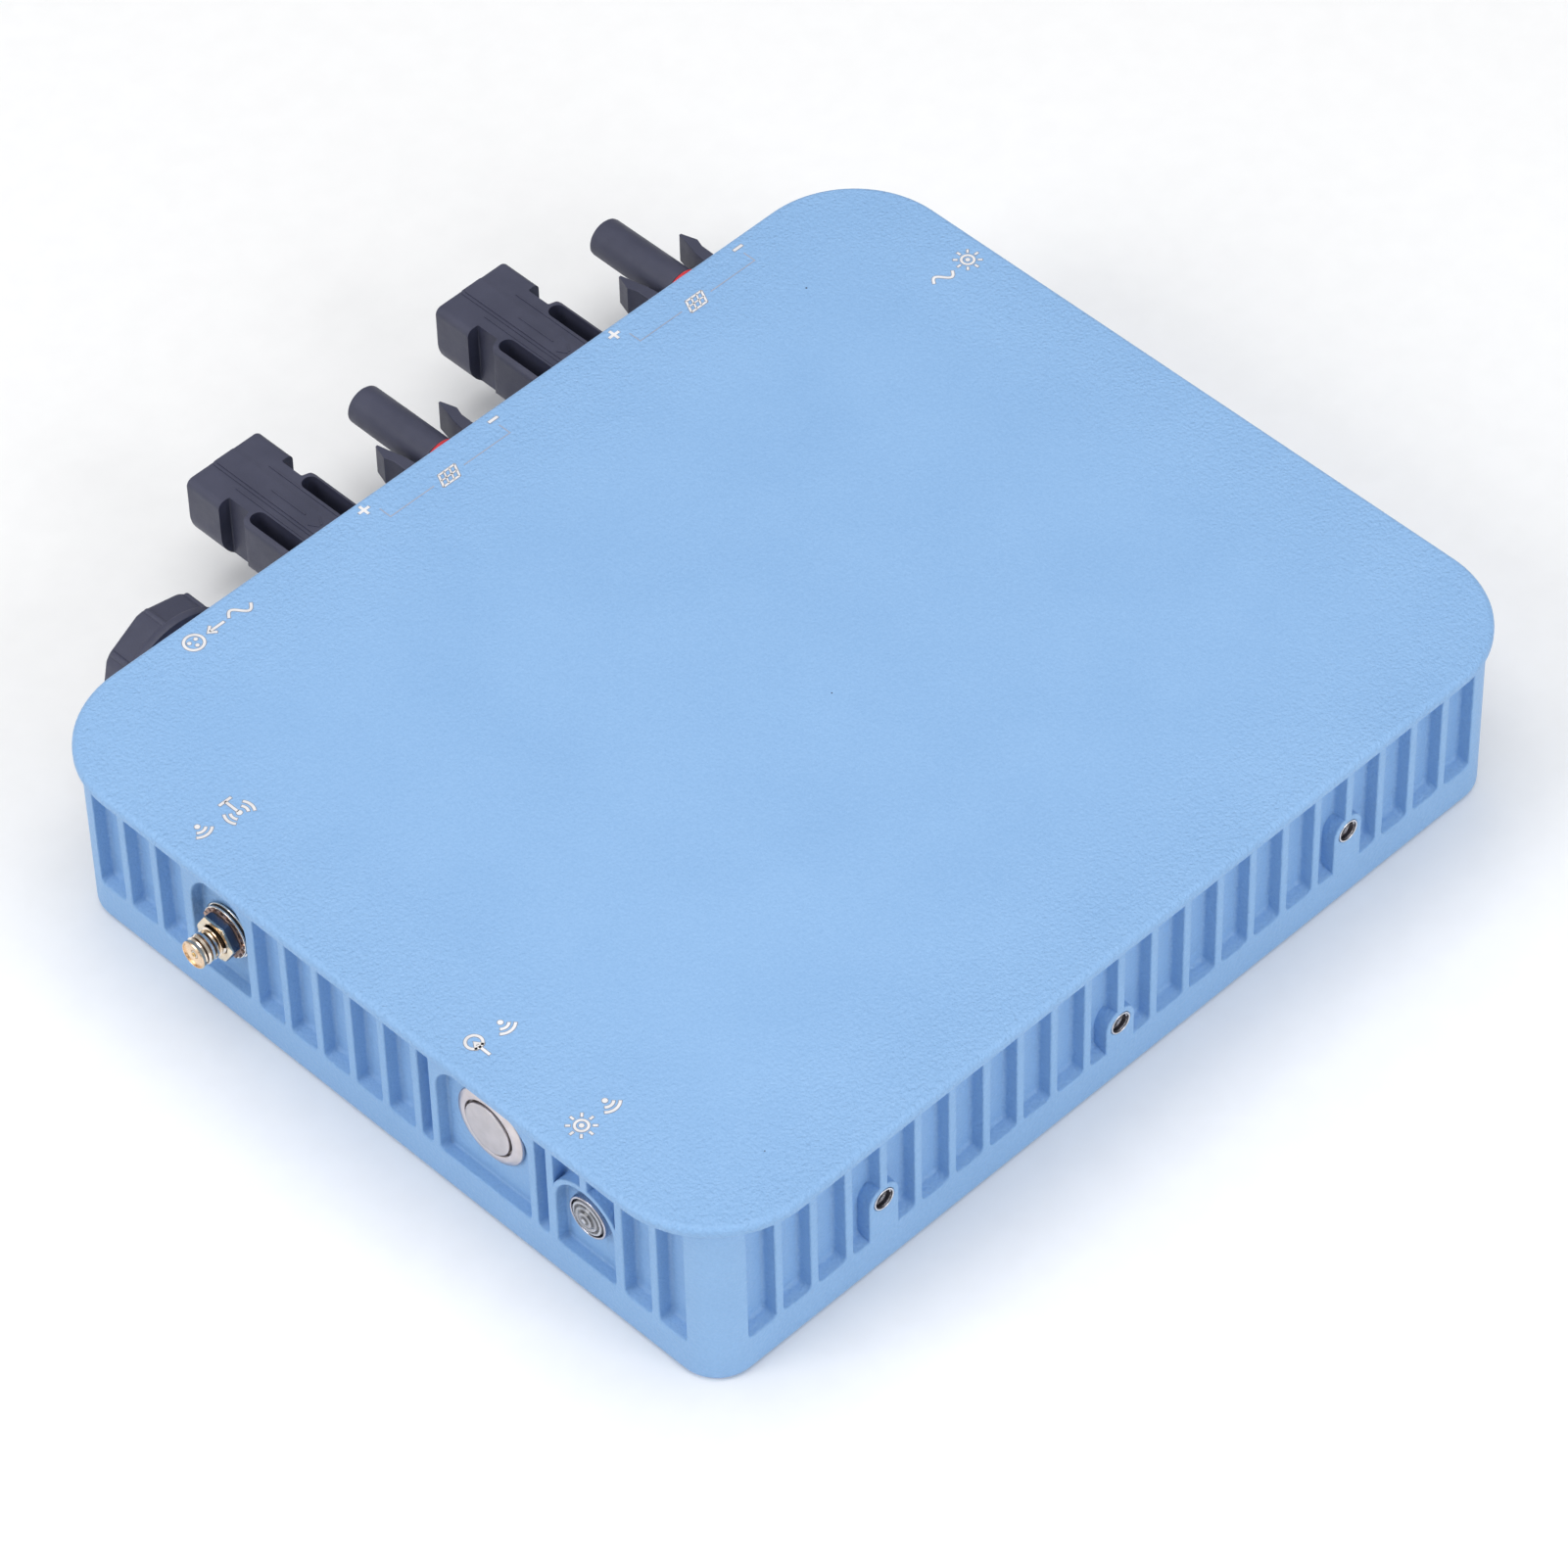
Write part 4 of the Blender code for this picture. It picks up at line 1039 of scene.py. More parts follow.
    def special_hollows(self) -> bpy.types.Object:
        """Returns the recesses and the short pockets round them as one cutter."""
        shape = Shape()
        self.recess_solid(shape, Side.ANTENNA, "antenna_hex_nut", 7.5 * MM, 34.5 * MM, 7.35 * MM)
        self.recess_solid(shape, Side.ANTENNA, "button_cap", self.button_half, 34.0 * MM, 6.4 * MM)
        for side, node in (
            (Side.ANTENNA, "wireless_lamp_lens"), (Side.LAMP, "inverter_lamp_lens")
        ):
            height = side.place(node)[1]
            self.recess_solid(shape, side, node, self.arch, height + self.arch, self.arch * 0.97)
            for lean in (-1, 1):
                self.pocket_beside_arch(shape, side, node, lean)
        place = Side.ANTENNA.place("button_cap")[0]
        for lean in (-1, 1):
            outer = 2 * self.pitch - self.rib / 2
            inner = self.button_half + self.rib
            slim = self.pocket("slim_pocket", (outer - inner) / 2)
            centre = place + lean * (outer + inner) / 2
            slim.data.transform(
                Side.ANTENNA.frame(Side.ANTENNA.normal * self.half_x + Side.ANTENNA.along * centre)
            )
            shape.bm.from_mesh(slim.data)
            discard(slim)
        return shape.build("special_hollows")

    def pocket_beside_arch(self, shape: Shape, side: Side, node: str, lean: int) -> None:
        """Adds the short pocket between a lamp's arch and the lid, on one side of the middle rib.
        """
        place, height = side.place(node)
        frame = side.frame(side.normal * side.half() + side.along * place)
        reach = self.arch + self.arch_wall
        rings = []
        for depth, widening in eased(self.depth, 0.3 * MM, 0.7 * MM):
            inner = self.rib / 2 - widening
            outer = self.pitch - self.rib / 2 + widening
            bow = reach - widening
            outline = []
            for step in range(9):
                u = inner + (outer - inner) * step / 8
                outline.append((lean * u, height + math.sqrt(max(0.0, bow**2 - min(u, bow) ** 2))))
            top = self.height + 2 * MM
            outline += [(lean * outer, top), (lean * inner, top)]
            rings.append([shape.bm.verts.new(frame @ Vector((x, y, -depth))) for x, y in outline])
        shape.join(rings)

    def bosses(self) -> bpy.types.Object:
        """Returns the arched bosses of the bracket threads, rounded at their face."""
        shape = Shape()
        for number in (1, 2, 3):
            place, height = Side.BRACKET.place(f"bracket_insert_{number}")
            frame = Side.BRACKET.frame(
                Side.BRACKET.normal * self.half_y + Side.BRACKET.along * place
            )
            rings = []
            for depth, inset in (
                (0.0, 0.35), (0.05, 0.17), (0.17, 0.05), (0.35, 0.0), (10.0, 0.0)
            ):
                half = self.boss - inset * MM
                outline = rounded_box(
                    -half, half, self.sill - 2.4 * MM, height + half, 0.4 * MM, half * 0.97, 8
                )
                rings.append(
                    [
                        shape.bm.verts.new(frame @ Vector((x, y, -0.02 * MM - depth * MM)))
                        for x, y in outline
                    ]
                )
            shape.join(rings)
        return shape.build("bosses")

    def round_hole(
        self, shape: Shape, side: Side, node: str, radius: float, depth: float, lip: float = 0.0
    ) -> None:
        """Adds a round cutter from outside the wall to a depth, in line with a solid."""
        place, height = side.place(node)
        frame = side.frame(side.normal * side.half() + side.along * place + Vector((0, 0, height)))
        sections = [
            (2.0 * MM, radius + lip), (0.0, radius + lip), (-lip, radius), (-depth, radius)
        ]
        rings = []
        for z, size in sections if lip else sections[::3]:
            rings.append(
                [shape.bm.verts.new(frame @ Vector((x, y, z))) for x, y in circle(size, 40)]
            )
        shape.join(rings)

    def holes(self) -> bpy.types.Object:
        """Returns the holes through the walls, the screw holes and the gasket groove as one
        cutter.
        """
        shape = Shape()
        through = self.wall + 4 * MM
        self.round_hole(shape, Side.ANTENNA, "antenna_hex_nut", 3.6 * MM, through)
        self.round_hole(shape, Side.ANTENNA, "button_cap", 8.2 * MM, through)
        self.round_hole(shape, Side.ANTENNA, "wireless_lamp_lens", 4.2 * MM, through)
        self.round_hole(shape, Side.LAMP, "inverter_lamp_lens", 4.2 * MM, through)
        self.round_hole(shape, Side.CONNECTOR, "ac_lock_nut", 9.8 * MM, through)
        for number in (1, 2):
            for pole in ("plus", "minus"):
                self.round_hole(
                    shape, Side.CONNECTOR, f"solar_{pole}_nut_{number}", 7.3 * MM, through
                )
        for number in (1, 2, 3):
            self.round_hole(
                shape, Side.BRACKET, f"bracket_insert_{number}", 2.6 * MM, 7.0 * MM, 0.15 * MM
            )
        for x, y in self.columns():
            wide, narrow = (moved(circle(size, 32), x, y) for size in (4.2 * MM, 2.3 * MM))
            mouth = moved(circle(4.6 * MM, 32), x, y)
            heights = (-MM, 0.0, 0.4 * MM, 22 * MM, 22 * MM, self.column_top + MM)
            shape.skin(list(zip(heights, (mouth, mouth, wide, wide, narrow, narrow))))
        for x, y in self.posts():
            shape.prism(moved(circle(1.8 * MM, 20), x, y), self.floor + MM, self.board_low + MM)
        outlines = [
            centred_box(self.half_x - inset, self.half_y - inset, self.corner)
            for inset in (4.5 * MM, 6.2 * MM)
        ]
        low, high = self.height - 1.5 * MM, self.height + MM
        shape.skin(
            [(low, outlines[0]), (high, outlines[0]), (high, outlines[1]), (low, outlines[1])],
            closed=True,
        )
        return shape.build("holes")


@dataclass
class Lid:
    """The flat lid, its marks and the four screws that hold it."""

    trees: Trees
    corner: float = 22.8 * MM
    edge: float = 1.3 * MM
    mark_height: float = 0.06 * MM
    grow: float = 0.0
    pen: float = 0.55 * MM

    def build(self) -> None:
        """Builds the plate, the marks and the screws."""
        _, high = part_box("lid_plate")
        self.half_x, self.half_y, self.top = high.x, high.y, high.z
        self.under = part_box("housing_tray")[1].z + 0.3 * MM
        self.plate()
        self.marks()
        self.screws()

    def plate(self) -> bpy.types.Object:
        """Builds the plate with its screw bosses."""
        insets = [
            (self.under, 0.35 * MM),
            (self.under + 0.1 * MM, 0.1 * MM),
            (self.under + 0.35 * MM, 0.0),
        ]
        for step in range(7):
            turn = math.pi / 2 * step / 6
            insets.append(
                (self.top - self.edge * (1 - math.sin(turn)), self.edge * (1 - math.cos(turn)))
            )
        sections = []
        for height, inset in insets:
            outline = centred_box(
                self.half_x - inset, self.half_y - inset, self.corner - inset, 24
            )
            sections.append((height, outline))
        plate = Shape().skin(sections).build("lid_cover")
        bosses, holes = Shape(), Shape()
        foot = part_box("lid_plate")[0].z
        for number in (1, 2, 3, 4):
            low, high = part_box(f"lid_screw_{number}")
            x, y = (low.x + high.x) / 2, (low.y + high.y) / 2
            bosses.prism(moved(circle(5.2 * MM, 32), x, y), foot, self.under + MM)
            holes.prism(moved(circle(2.3 * MM, 32), x, y), foot - MM, self.under - MM)
        combine(plate, bosses.build("lid_bosses"), "UNION")
        combine(plate, holes.build("lid_holes"), "DIFFERENCE")
        coat = PowderCoat("lid_powder_coat", *BLUE, reach=(self.half_x, self.half_y))
        return dress(plate, coat, HOUSING, ["lid_plate"])

    def ring(self, shape: Shape, x: float, y: float, outer: float, inner: float) -> None:
        """Adds a printed ring."""
        low, high = self.top - 0.02 * MM, self.top + self.mark_height
        out, into = (
            moved(circle(radius, 28), x, y) for radius in (outer + self.grow, inner - self.grow)
        )
        shape.skin([(low, out), (high, out), (high, into), (low, into)], closed=True)

    def line(self, shape: Shape, path: Sequence[tuple[float, float]], width: float) -> None:
        """Adds a printed line."""
        ends = [Vector(point) for point in path]
        ends[0] = ends[0] - (ends[1] - ends[0]).normalized() * self.grow
        ends[-1] = ends[-1] + (ends[-1] - ends[-2]).normalized() * self.grow
        outline = stroke([tuple(end) for end in ends], width + 2 * self.grow)
        shape.prism(outline, self.top - 0.02 * MM, self.top + self.mark_height)

    def spot_mark(self, shape: Shape, outline: Outline) -> None:
        """Adds a printed solid shape."""
        middle = sum((Vector(point) for point in outline), Vector((0, 0))) / len(outline)
        reach = max((Vector(point) - middle).length for point in outline)
        share = 1 + self.grow / reach
        outline = [tuple(middle + (Vector(point) - middle) * share) for point in outline]
        shape.prism(outline, self.top - 0.02 * MM, self.top + self.mark_height)

    def lamp_mark(self, shape: Shape, x: float, y: float) -> None:
        """Adds the lamp sign: a ring with a dot and eight rays."""
        self.ring(shape, x, y, 1.55 * MM, 1.05 * MM)
        self.spot_mark(shape, moved(circle(0.5 * MM, 16), x, y))
        for step in range(8):
            arm = Vector((math.cos(step * math.pi / 4), math.sin(step * math.pi / 4)))
            near, far = arm * 2.05 * MM, arm * 2.95 * MM
            self.line(shape, [(x + near.x, y + near.y), (x + far.x, y + far.y)], 0.45 * MM)

    def wave_mark(self, shape: Shape, x: float, y: float, width: float, height: float) -> None:
        """Adds one period of a sine wave."""
        path = []
        for step in range(17):
            share = step / 16
            path.append(
                (x + width * (share - 0.5), y + height / 2 * math.sin(2 * math.pi * share))
            )
        self.line(shape, path, self.pen)

    def arc_path(
        self, x: float, y: float, radius: float, start: float, end: float
    ) -> list[tuple[float, float]]:
        """Returns the points of an arc between two angles in degrees."""
        turns = [math.radians(start + (end - start) * step / 12) for step in range(13)]
        return [(x + radius * math.cos(turn), y + radius * math.sin(turn)) for turn in turns]

    def radio_mark(self, shape: Shape, x: float, y: float) -> None:
        """Adds the radio sign: a dot under two arcs."""
        self.spot_mark(shape, moved(circle(0.55 * MM, 16), x, y))
        for radius in (1.6 * MM, 2.8 * MM):
            self.line(shape, self.arc_path(x, y, radius, 45, 135), self.pen)

    def mast_mark(self, shape: Shape, x: float, y: float) -> None:
        """Adds the antenna sign: a mast on a foot, with arcs beside its tip."""
        self.line(shape, [(x, y - 2.4 * MM), (x, y + 1.2 * MM)], self.pen)
        self.line(shape, [(x - 1.5 * MM, y - 2.4 * MM), (x + 1.5 * MM, y - 2.4 * MM)], self.pen)
        self.spot_mark(shape, moved(circle(0.6 * MM, 16), x, y + 1.6 * MM))
        for radius in (1.7 * MM, 2.9 * MM):
            self.line(shape, self.arc_path(x, y + 1.6 * MM, radius, -35, 35), self.pen)
            self.line(shape, self.arc_path(x, y + 1.6 * MM, radius, 145, 215), self.pen)

    def press_mark(self, shape: Shape, x: float, y: float) -> None:
        """Adds the button sign: an arrow down to a ring."""
        self.ring(shape, x, y - 1.2 * MM, 1.9 * MM, 1.35 * MM)
        self.line(shape, [(x, y + 3.0 * MM), (x, y - 0.4 * MM)], self.pen)
        tip = [(x - 1.0 * MM, y + 0.5 * MM), (x, y - 0.9 * MM), (x + 1.0 * MM, y + 0.5 * MM)]
        self.line(shape, tip, self.pen)

    def plus_mark(self, shape: Shape, x: float, y: float) -> None:
        """Adds a plus."""
        arm, half = 1.35 * MM, 0.32 * MM
        corner = [
            (half, half), (half, arm), (-half, arm), (-half, half), (-arm, half), (-arm, -half)
        ]
        corner += [
            (-half, -half), (-half, -arm), (half, -arm), (half, -half), (arm, -half), (arm, half)
        ]
        self.spot_mark(shape, moved(corner, x, y))

    def minus_mark(self, shape: Shape, x: float, y: float) -> None:
        """Adds a minus."""
        self.line(shape, [(x - 1.2 * MM, y), (x + 1.2 * MM, y)], 0.62 * MM)

    def panel_mark(self, shape: Shape, x: float, y: float) -> None:
        """Adds the solar panel sign: a leaning frame with two bars across and one along."""
        width, height, lean = 2.1 * MM, 1.5 * MM, 0.7 * MM
        corners = [
            (-width - lean, -height),
            (width - lean, -height),
            (width + lean, height),
            (-width + lean, height),
        ]
        frame = [(x + u, y + v) for u, v in corners]
        for first, second in zip(frame, frame[1:] + frame[:1]):
            self.line(shape, [first, second], 0.42 * MM)
        for share in (-1 / 3, 1 / 3):
            bar = [(x + width * share - lean, y - height), (x + width * share + lean, y + height)]
            self.line(shape, bar, 0.3 * MM)
        self.line(shape, [(x - width, y), (x + width, y)], 0.3 * MM)

    def marks(self) -> None:
        """Prints the signs, each on a slightly wider dark rim, and the fine bracket lines."""
        for name, grow, height, finish in (
            ("lid_sign_rims", 0.13 * MM, 0.03 * MM, RIM_PRINT),
            ("lid_signs", 0.0, 0.06 * MM, PRINT),
        ):
            self.grow, self.mark_height = grow, height
            signs, fine = Shape(), Shape()
            self.draw_marks(signs, fine)
            dress(signs.build(name), finish, HOUSING)
        self.grow = 0.0
        dress(fine.build("lid_bracket_lines"), LINE_PRINT, HOUSING)

    def draw_marks(self, signs: Shape, fine: Shape) -> None:
        """Draws the signs above the sockets and the brackets that pair the solar inputs.

        Args:
            signs: Gets the signs.
            fine: Gets the bracket lines.
        """
        line_y = -self.half_y + 7.9 * MM
        sign_y = -self.half_y + 2.9 * MM
        for number in (1, 2):
            plus_x = Side.CONNECTOR.place(f"solar_plus_nut_{number}")[0]
            minus_x = Side.CONNECTOR.place(f"solar_minus_nut_{number}")[0]
            middle = (plus_x + minus_x) / 2
            self.plus_mark(signs, plus_x + 0.6 * MM, sign_y)
            self.minus_mark(signs, minus_x + 0.8 * MM, sign_y)
            self.panel_mark(signs, middle, line_y)
            for end, gap in ((plus_x - 1.8 * MM, 4.0 * MM), (minus_x + 1.0 * MM, -4.0 * MM)):
                path = [(end, sign_y + 1.9 * MM), (end, line_y), (middle + gap, line_y)]
                self.line(fine, path, 0.26 * MM)
        ac_x = Side.CONNECTOR.place("ac_lock_nut")[0]
        self.wave_mark(signs, ac_x - 5.4 * MM, sign_y + 2.6 * MM, 5.6 * MM, 2.6 * MM)
        self.ring(signs, ac_x + 6.4 * MM, sign_y + 2.6 * MM, 2.3 * MM, 1.75 * MM)
        for degrees in (90, 210, 330):
            turn = math.radians(degrees)
            dot = moved(
                circle(0.42 * MM, 14),
                ac_x + 6.4 * MM + 0.95 * MM * math.cos(turn),
                sign_y + 2.6 * MM + 0.95 * MM * math.sin(turn),
            )
            self.spot_mark(signs, dot)
        arrow_x, arrow_y = ac_x + 0.6 * MM, sign_y + 2.6 * MM
        self.line(signs, [(arrow_x - 1.9 * MM, arrow_y), (arrow_x + 1.8 * MM, arrow_y)], self.pen)
        head = [
            (arrow_x + 0.8 * MM, arrow_y + 1.1 * MM),
            (arrow_x + 2.1 * MM, arrow_y),
            (arrow_x + 0.8 * MM, arrow_y - 1.1 * MM),
        ]
        self.line(signs, head, self.pen)
        antenna_y = Side.ANTENNA.place("antenna_hex_nut")[0]
        self.mast_mark(signs, self.half_x - 15.5 * MM, antenna_y - 5.2 * MM)
        self.radio_mark(signs, self.half_x - 7.6 * MM, antenna_y - 6.6 * MM)
        button_y = Side.ANTENNA.place("button_cap")[0]
        self.radio_mark(signs, self.half_x - 14.0 * MM, button_y - 3.2 * MM)
        self.press_mark(signs, self.half_x - 7.4 * MM, button_y - 2.0 * MM)
        lamp_y = Side.ANTENNA.place("wireless_lamp_lens")[0]
        self.radio_mark(signs, self.half_x - 14.4 * MM, lamp_y - 3.2 * MM)
        self.lamp_mark(signs, self.half_x - 7.4 * MM, lamp_y - 2.0 * MM)
        back_y = -Side.LAMP.place("inverter_lamp_lens")[0]
        self.lamp_mark(signs, -self.half_x + 6.0 * MM, back_y - 0.4 * MM)
        self.wave_mark(signs, -self.half_x + 13.0 * MM, back_y - 0.4 * MM, 5.2 * MM, 2.4 * MM)

    def screws(self) -> None:
        """Builds the four socket screws that come up through the columns."""
        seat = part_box("lid_screw_1")[0].z + 2.6 * MM
        head = [
            (0.02 * MM, -1.0 * MM),
            (1.5 * MM, -1.0 * MM),
            (1.5 * MM, -2.6 * MM),
            (2.6 * MM, -2.6 * MM, 0.5 * MM),
        ]
        head += [(3.8 * MM, -1.7 * MM, 0.6 * MM), (3.8 * MM, 0.0, 0.1 * MM), (2.0 * MM, 0.0)]
        head += [(2.0 * MM, 17.9 * MM), (1.4 * MM, 18.5 * MM), (0.02 * MM, 18.5 * MM)]
        screw = Shape().turned(head, 48).build("screw_source")
        thread = {
            "Radius": 2.0 * MM,
            "Turns": 17.0,
            "Length": 12.0 * MM,
            "Start": 5.5 * MM,
            "Ridge": 0.28 * MM,
        }
        self.trees.thread.apply(screw, PLAIN_STEEL, **thread)
        points = Shape()
        for number in (1, 2, 3, 4):
            low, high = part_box(f"lid_screw_{number}")
            points.bm.verts.new(((low.x + high.x) / 2, (low.y + high.y) / 2, seat))
        screws = points.build("lid_screws")
        self.trees.at_points.apply(screws, PLAIN_STEEL, Source=screw, Turn=(0.0, 0.0, 0.0))
        discard(screw)
        dress(
            screws,
            PLAIN_STEEL,
            HOUSING,
            [f"lid_screw_{number}" for number in (1, 2, 3, 4)],
        )


@dataclass
class BracketThreads:
    """Three threaded steel inserts in the bracket wall, each with a bright collar."""

    trees: Trees
    radius: float = 2.5 * MM
    bore: float = 2.1 * MM
    length: float = 6.4 * MM
    collar: float = 0.5 * MM

    def build(self) -> None:
        """Builds the sleeves, the threads and the collars."""
        sleeve = [
            (self.radius, -self.length),
            (self.radius, -self.collar),
            (self.bore, -self.collar),
            (self.bore, -self.length),
        ]
        dark = Metal("thread_shadow", (0.16, 0.15, 0.17), (0.10, 0.10, 0.12), (0.34, 0.48))
        nodes = [f"bracket_insert_{number}" for number in (1, 2, 3)]
        self.spread("bracket_thread_sleeves", Shape().turned(sleeve, 48, closed=True), dark, nodes)
        edge = self.bore + 0.06 * MM
        ring = [
            (self.radius, -self.collar), (
                self.radius, 0.05 * MM, 0.1 * MM
            ), (edge, 0.05 * MM, 0.1 * MM), (edge, -self.collar)
        ]
        bright = Metal("insert_collar", (0.86, 0.84, 0.84), (0.74, 0.72, 0.73), (0.14, 0.26))
        self.spread("bracket_thread_collars", Shape().turned(ring, 48, closed=True), bright)
        thread = {
            "Radius": self.bore + 0.04 * MM,
            "Turns": 5.0,
            "Length": 5.2 * MM,
            "Start": -5.9 * MM,
            "Ridge": 0.30 * MM,
        }
        self.spread("bracket_thread_ridges", Shape(), bright, thread=thread)

    def spread(
        self,
        name: str,
        shape: Shape,
        finish: Metal,
        nodes: Sequence[str] = (),
        thread: dict | None = None,
    ) -> None:
        """Puts a copy of the shape in each of the three holes.

        Args:
            name: The piece's name.
            shape: One copy, about the hole's axis.
            finish: Its finish.
            nodes: The solids that it stands for.
            thread: Inputs of a thread to add to the copy.
        """
        source = shape.build(f"{name}_source")
        if thread:
            self.trees.thread.apply(source, finish, **thread)
        points = Shape()
        for number in (1, 2, 3):
            points.bm.verts.new(Side.BRACKET.spot(f"bracket_insert_{number}"))
        copies = points.build(name)
        turn = tuple(Side.BRACKET.frame((0, 0, 0)).to_euler())
        self.trees.at_points.apply(copies, finish, Source=source, Turn=turn)
        discard(source)
        dress(copies, finish, HOUSING, nodes)


@dataclass
class AntennaSocket:
    """The threaded coaxial socket with its seal, washers and nut; heights are from the recess
    wall.
    """

    trees: Trees
    recess: float = 2.9 * MM
    barrel: float = 3.2 * MM
    tip: float = 9.8 * MM
    bore: float = 2.75 * MM
    nut_flat: float = 4.45 * MM
    nut_low: float = 2.1 * MM
    nut_high: float = 4.3 * MM
    crests: float = 5.0

    def build(self) -> None:
        """Builds every piece of the socket."""
        spot = Side.ANTENNA.spot("antenna_hex_nut", self.recess)
        self.frame = Side.ANTENNA.frame(spot)
        self.gold = Metal("turned_gold", *GOLD, centre=tuple(spot), groove=0.22 * MM)
        self.jack()
        self.inside()
        self.washers()
        self.nut()

    def jack(self) -> None:
        """Builds the barrel with its rear hexagon, the thread on it and its plain tip."""
        root = self.barrel - 0.62 * MM
        low, high = self.nut_high - 0.2 * MM, self.tip - 1.05 * MM
        flat = polygon_round(4.6 * MM, 5.1 * MM, 6, 72)
        sections = [(-6.4 * MM, flat), (-4.4 * MM, flat)]
        sections += [(height, circle(root, 72)) for height in (-4.4 * MM, high + 0.2 * MM)]
        core = Shape().skin(sections).build("antenna_threaded_barrel", self.frame)
        # Painted shade: the barrel's core under the thread is coloured dark brown so that the
        # grooves between the turns read darker than the gold plating
        brown_metal = Metal("thread_groove_painted_shade", (0.24, 0.17, 0.12), (0.15, 0.11, 0.09), (0.30, 0.44))
        dress(core, brown_metal, HOUSING, ["antenna_jack_body"])
        ridge = {
            "Radius": self.barrel - 0.36 * MM,
            "Turns": self.crests,
            "Length": high - low,
            "Start": low,
            "Ridge": 0.36 * MM,
        }
        # Painted highlight: the thread's ridge is a paler gold than the plating so that its crests
        # read bright
        pale = Metal("thread_crest_painted_highlight", (0.98, 0.88, 0.76), (0.92, 0.79, 0.64), (0.12, 0.22))
        thread = self.trees.thread.apply(Shape().build("antenna_thread"), pale, **ridge)
        thread.data.transform(self.frame)
        dress(thread, pale, HOUSING)
        collar = [
            (self.barrel - 0.25 * MM, high, 0.1 * MM),
            (self.barrel - 0.12 * MM, self.tip - 0.25 * MM, 0.1 * MM),
            (self.barrel - 0.32 * MM, self.tip, 0.08 * MM),
            (self.bore, self.tip, 0.08 * MM),
            (self.bore, self.tip - 0.4 * MM, 0.05 * MM),
            (0.95 * MM, self.tip - 0.45 * MM, 0.1 * MM),
            (0.85 * MM, self.tip - 1.0 * MM),
            (0.85 * MM, high),
        ]
        peach = Metal("peach_gold", (0.94, 0.72, 0.50), (0.84, 0.61, 0.41), (0.22, 0.34))
        tip = Shape().turned(collar, 72, closed=True).build("antenna_barrel_tip", self.frame)
        dress(tip, peach, HOUSING)

    def inside(self) -> None:
        """Builds the insulator round the contact and the contact."""
        front = self.tip - 0.42 * MM
        sleeve = [
            (0.80 * MM, self.tip - 0.9 * MM),
            (0.80 * MM, front, 0.1 * MM),
            (0.52 * MM, front, 0.04 * MM),
            (0.50 * MM, self.tip - 0.9 * MM),
        ]
        disc = Shape().turned(sleeve, 40, closed=True).build("antenna_insulator_disc", self.frame)
        dress(disc, WHITE, HOUSING, ["antenna_insulator"])
        pin = [
            (0.46 * MM, self.tip - 0.9 * MM),
            (0.46 * MM, self.tip - 0.2 * MM, 0.1 * MM),
            (0.2 * MM, self.tip - 0.15 * MM),
            (0.16 * MM, self.tip - 0.8 * MM),
            (0.02 * MM, self.tip - 0.8 * MM),
        ]
        contact = Shape().turned(pin, 32).build("antenna_centre_contact", self.frame)
        dress(contact, self.gold, HOUSING, ["antenna_contact"])

    def washers(self) -> None:
        """Builds the seal ring, the two thin washers and the toothed lock washer."""
        inner = self.barrel + 0.15 * MM
        seal = [
            (5.7 * MM, 0.1 * MM, 0.1 * MM),
            (5.7 * MM, 1.3 * MM, 0.1 * MM),
            (inner, 1.3 * MM),
            (inner, 0.1 * MM),
        ]
        ring = Shape().turned(seal, 72, closed=True).build("antenna_seal", self.frame)
        dress(ring, BLACK, HOUSING, ["antenna_seal_ring"])
        bright = Metal("bright_washer", (0.95, 0.90, 0.82), (0.84, 0.79, 0.72), (0.10, 0.20))
        bored = 5.3 * MM
        for number, (low, radius) in enumerate(
            ((0.5 * MM, 6.15 * MM), (1.32 * MM, 5.85 * MM)), start=1
        ):
            high = low + 0.36 * MM
            flat = [
                (radius, low, 0.08 * MM), (radius, high, 0.14 * MM), (bored, high), (bored, low)
            ]
            washer = Shape().turned(flat, 72, closed=True).build(
                f"antenna_thin_washer_{number}", self.frame
            )
            dress(washer, bright, HOUSING)
        band = [
            (4.95 * MM, 1.35 * MM, 0.1 * MM),
            (4.95 * MM, 2.05 * MM, 0.1 * MM),
            (inner, 2.05 * MM),
            (inner, 1.35 * MM),
        ]
        toothed = Shape().turned(band, 72, closed=True).build("antenna_toothed_washer")
        tooth = Shape()
        twist = [(-0.5, -0.15), (0.5, -0.15), (0.4, 0.2), (-0.4, 0.2)]
        rings = []
        for reach, lift in ((-0.4, 0.0), (0.45, 0.12), (0.6, 0.16)):
            slim = 0.85 if reach > 0.5 else 1.0
            corners = [
                (reach * MM, u * MM * slim, (v * slim + lift * u * 1.4) * MM) for u, v in twist
            ]
            rings.append([tooth.bm.verts.new(corner) for corner in corners])
        source = tooth.join(rings).build("tooth_source", Matrix.Translation((0, 0, 1.8 * MM)))
        brown_metal = Metal("bronzed_washer", (0.50, 0.32, 0.24), (0.36, 0.24, 0.20), (0.26, 0.40))
        self.trees.round_axis.apply(toothed, brown_metal, Source=source, Count=18, Radius=5.0 * MM)
        discard(source)
        toothed.data.transform(self.frame)
        dress(toothed, brown_metal, HOUSING, ["antenna_lock_washer"])

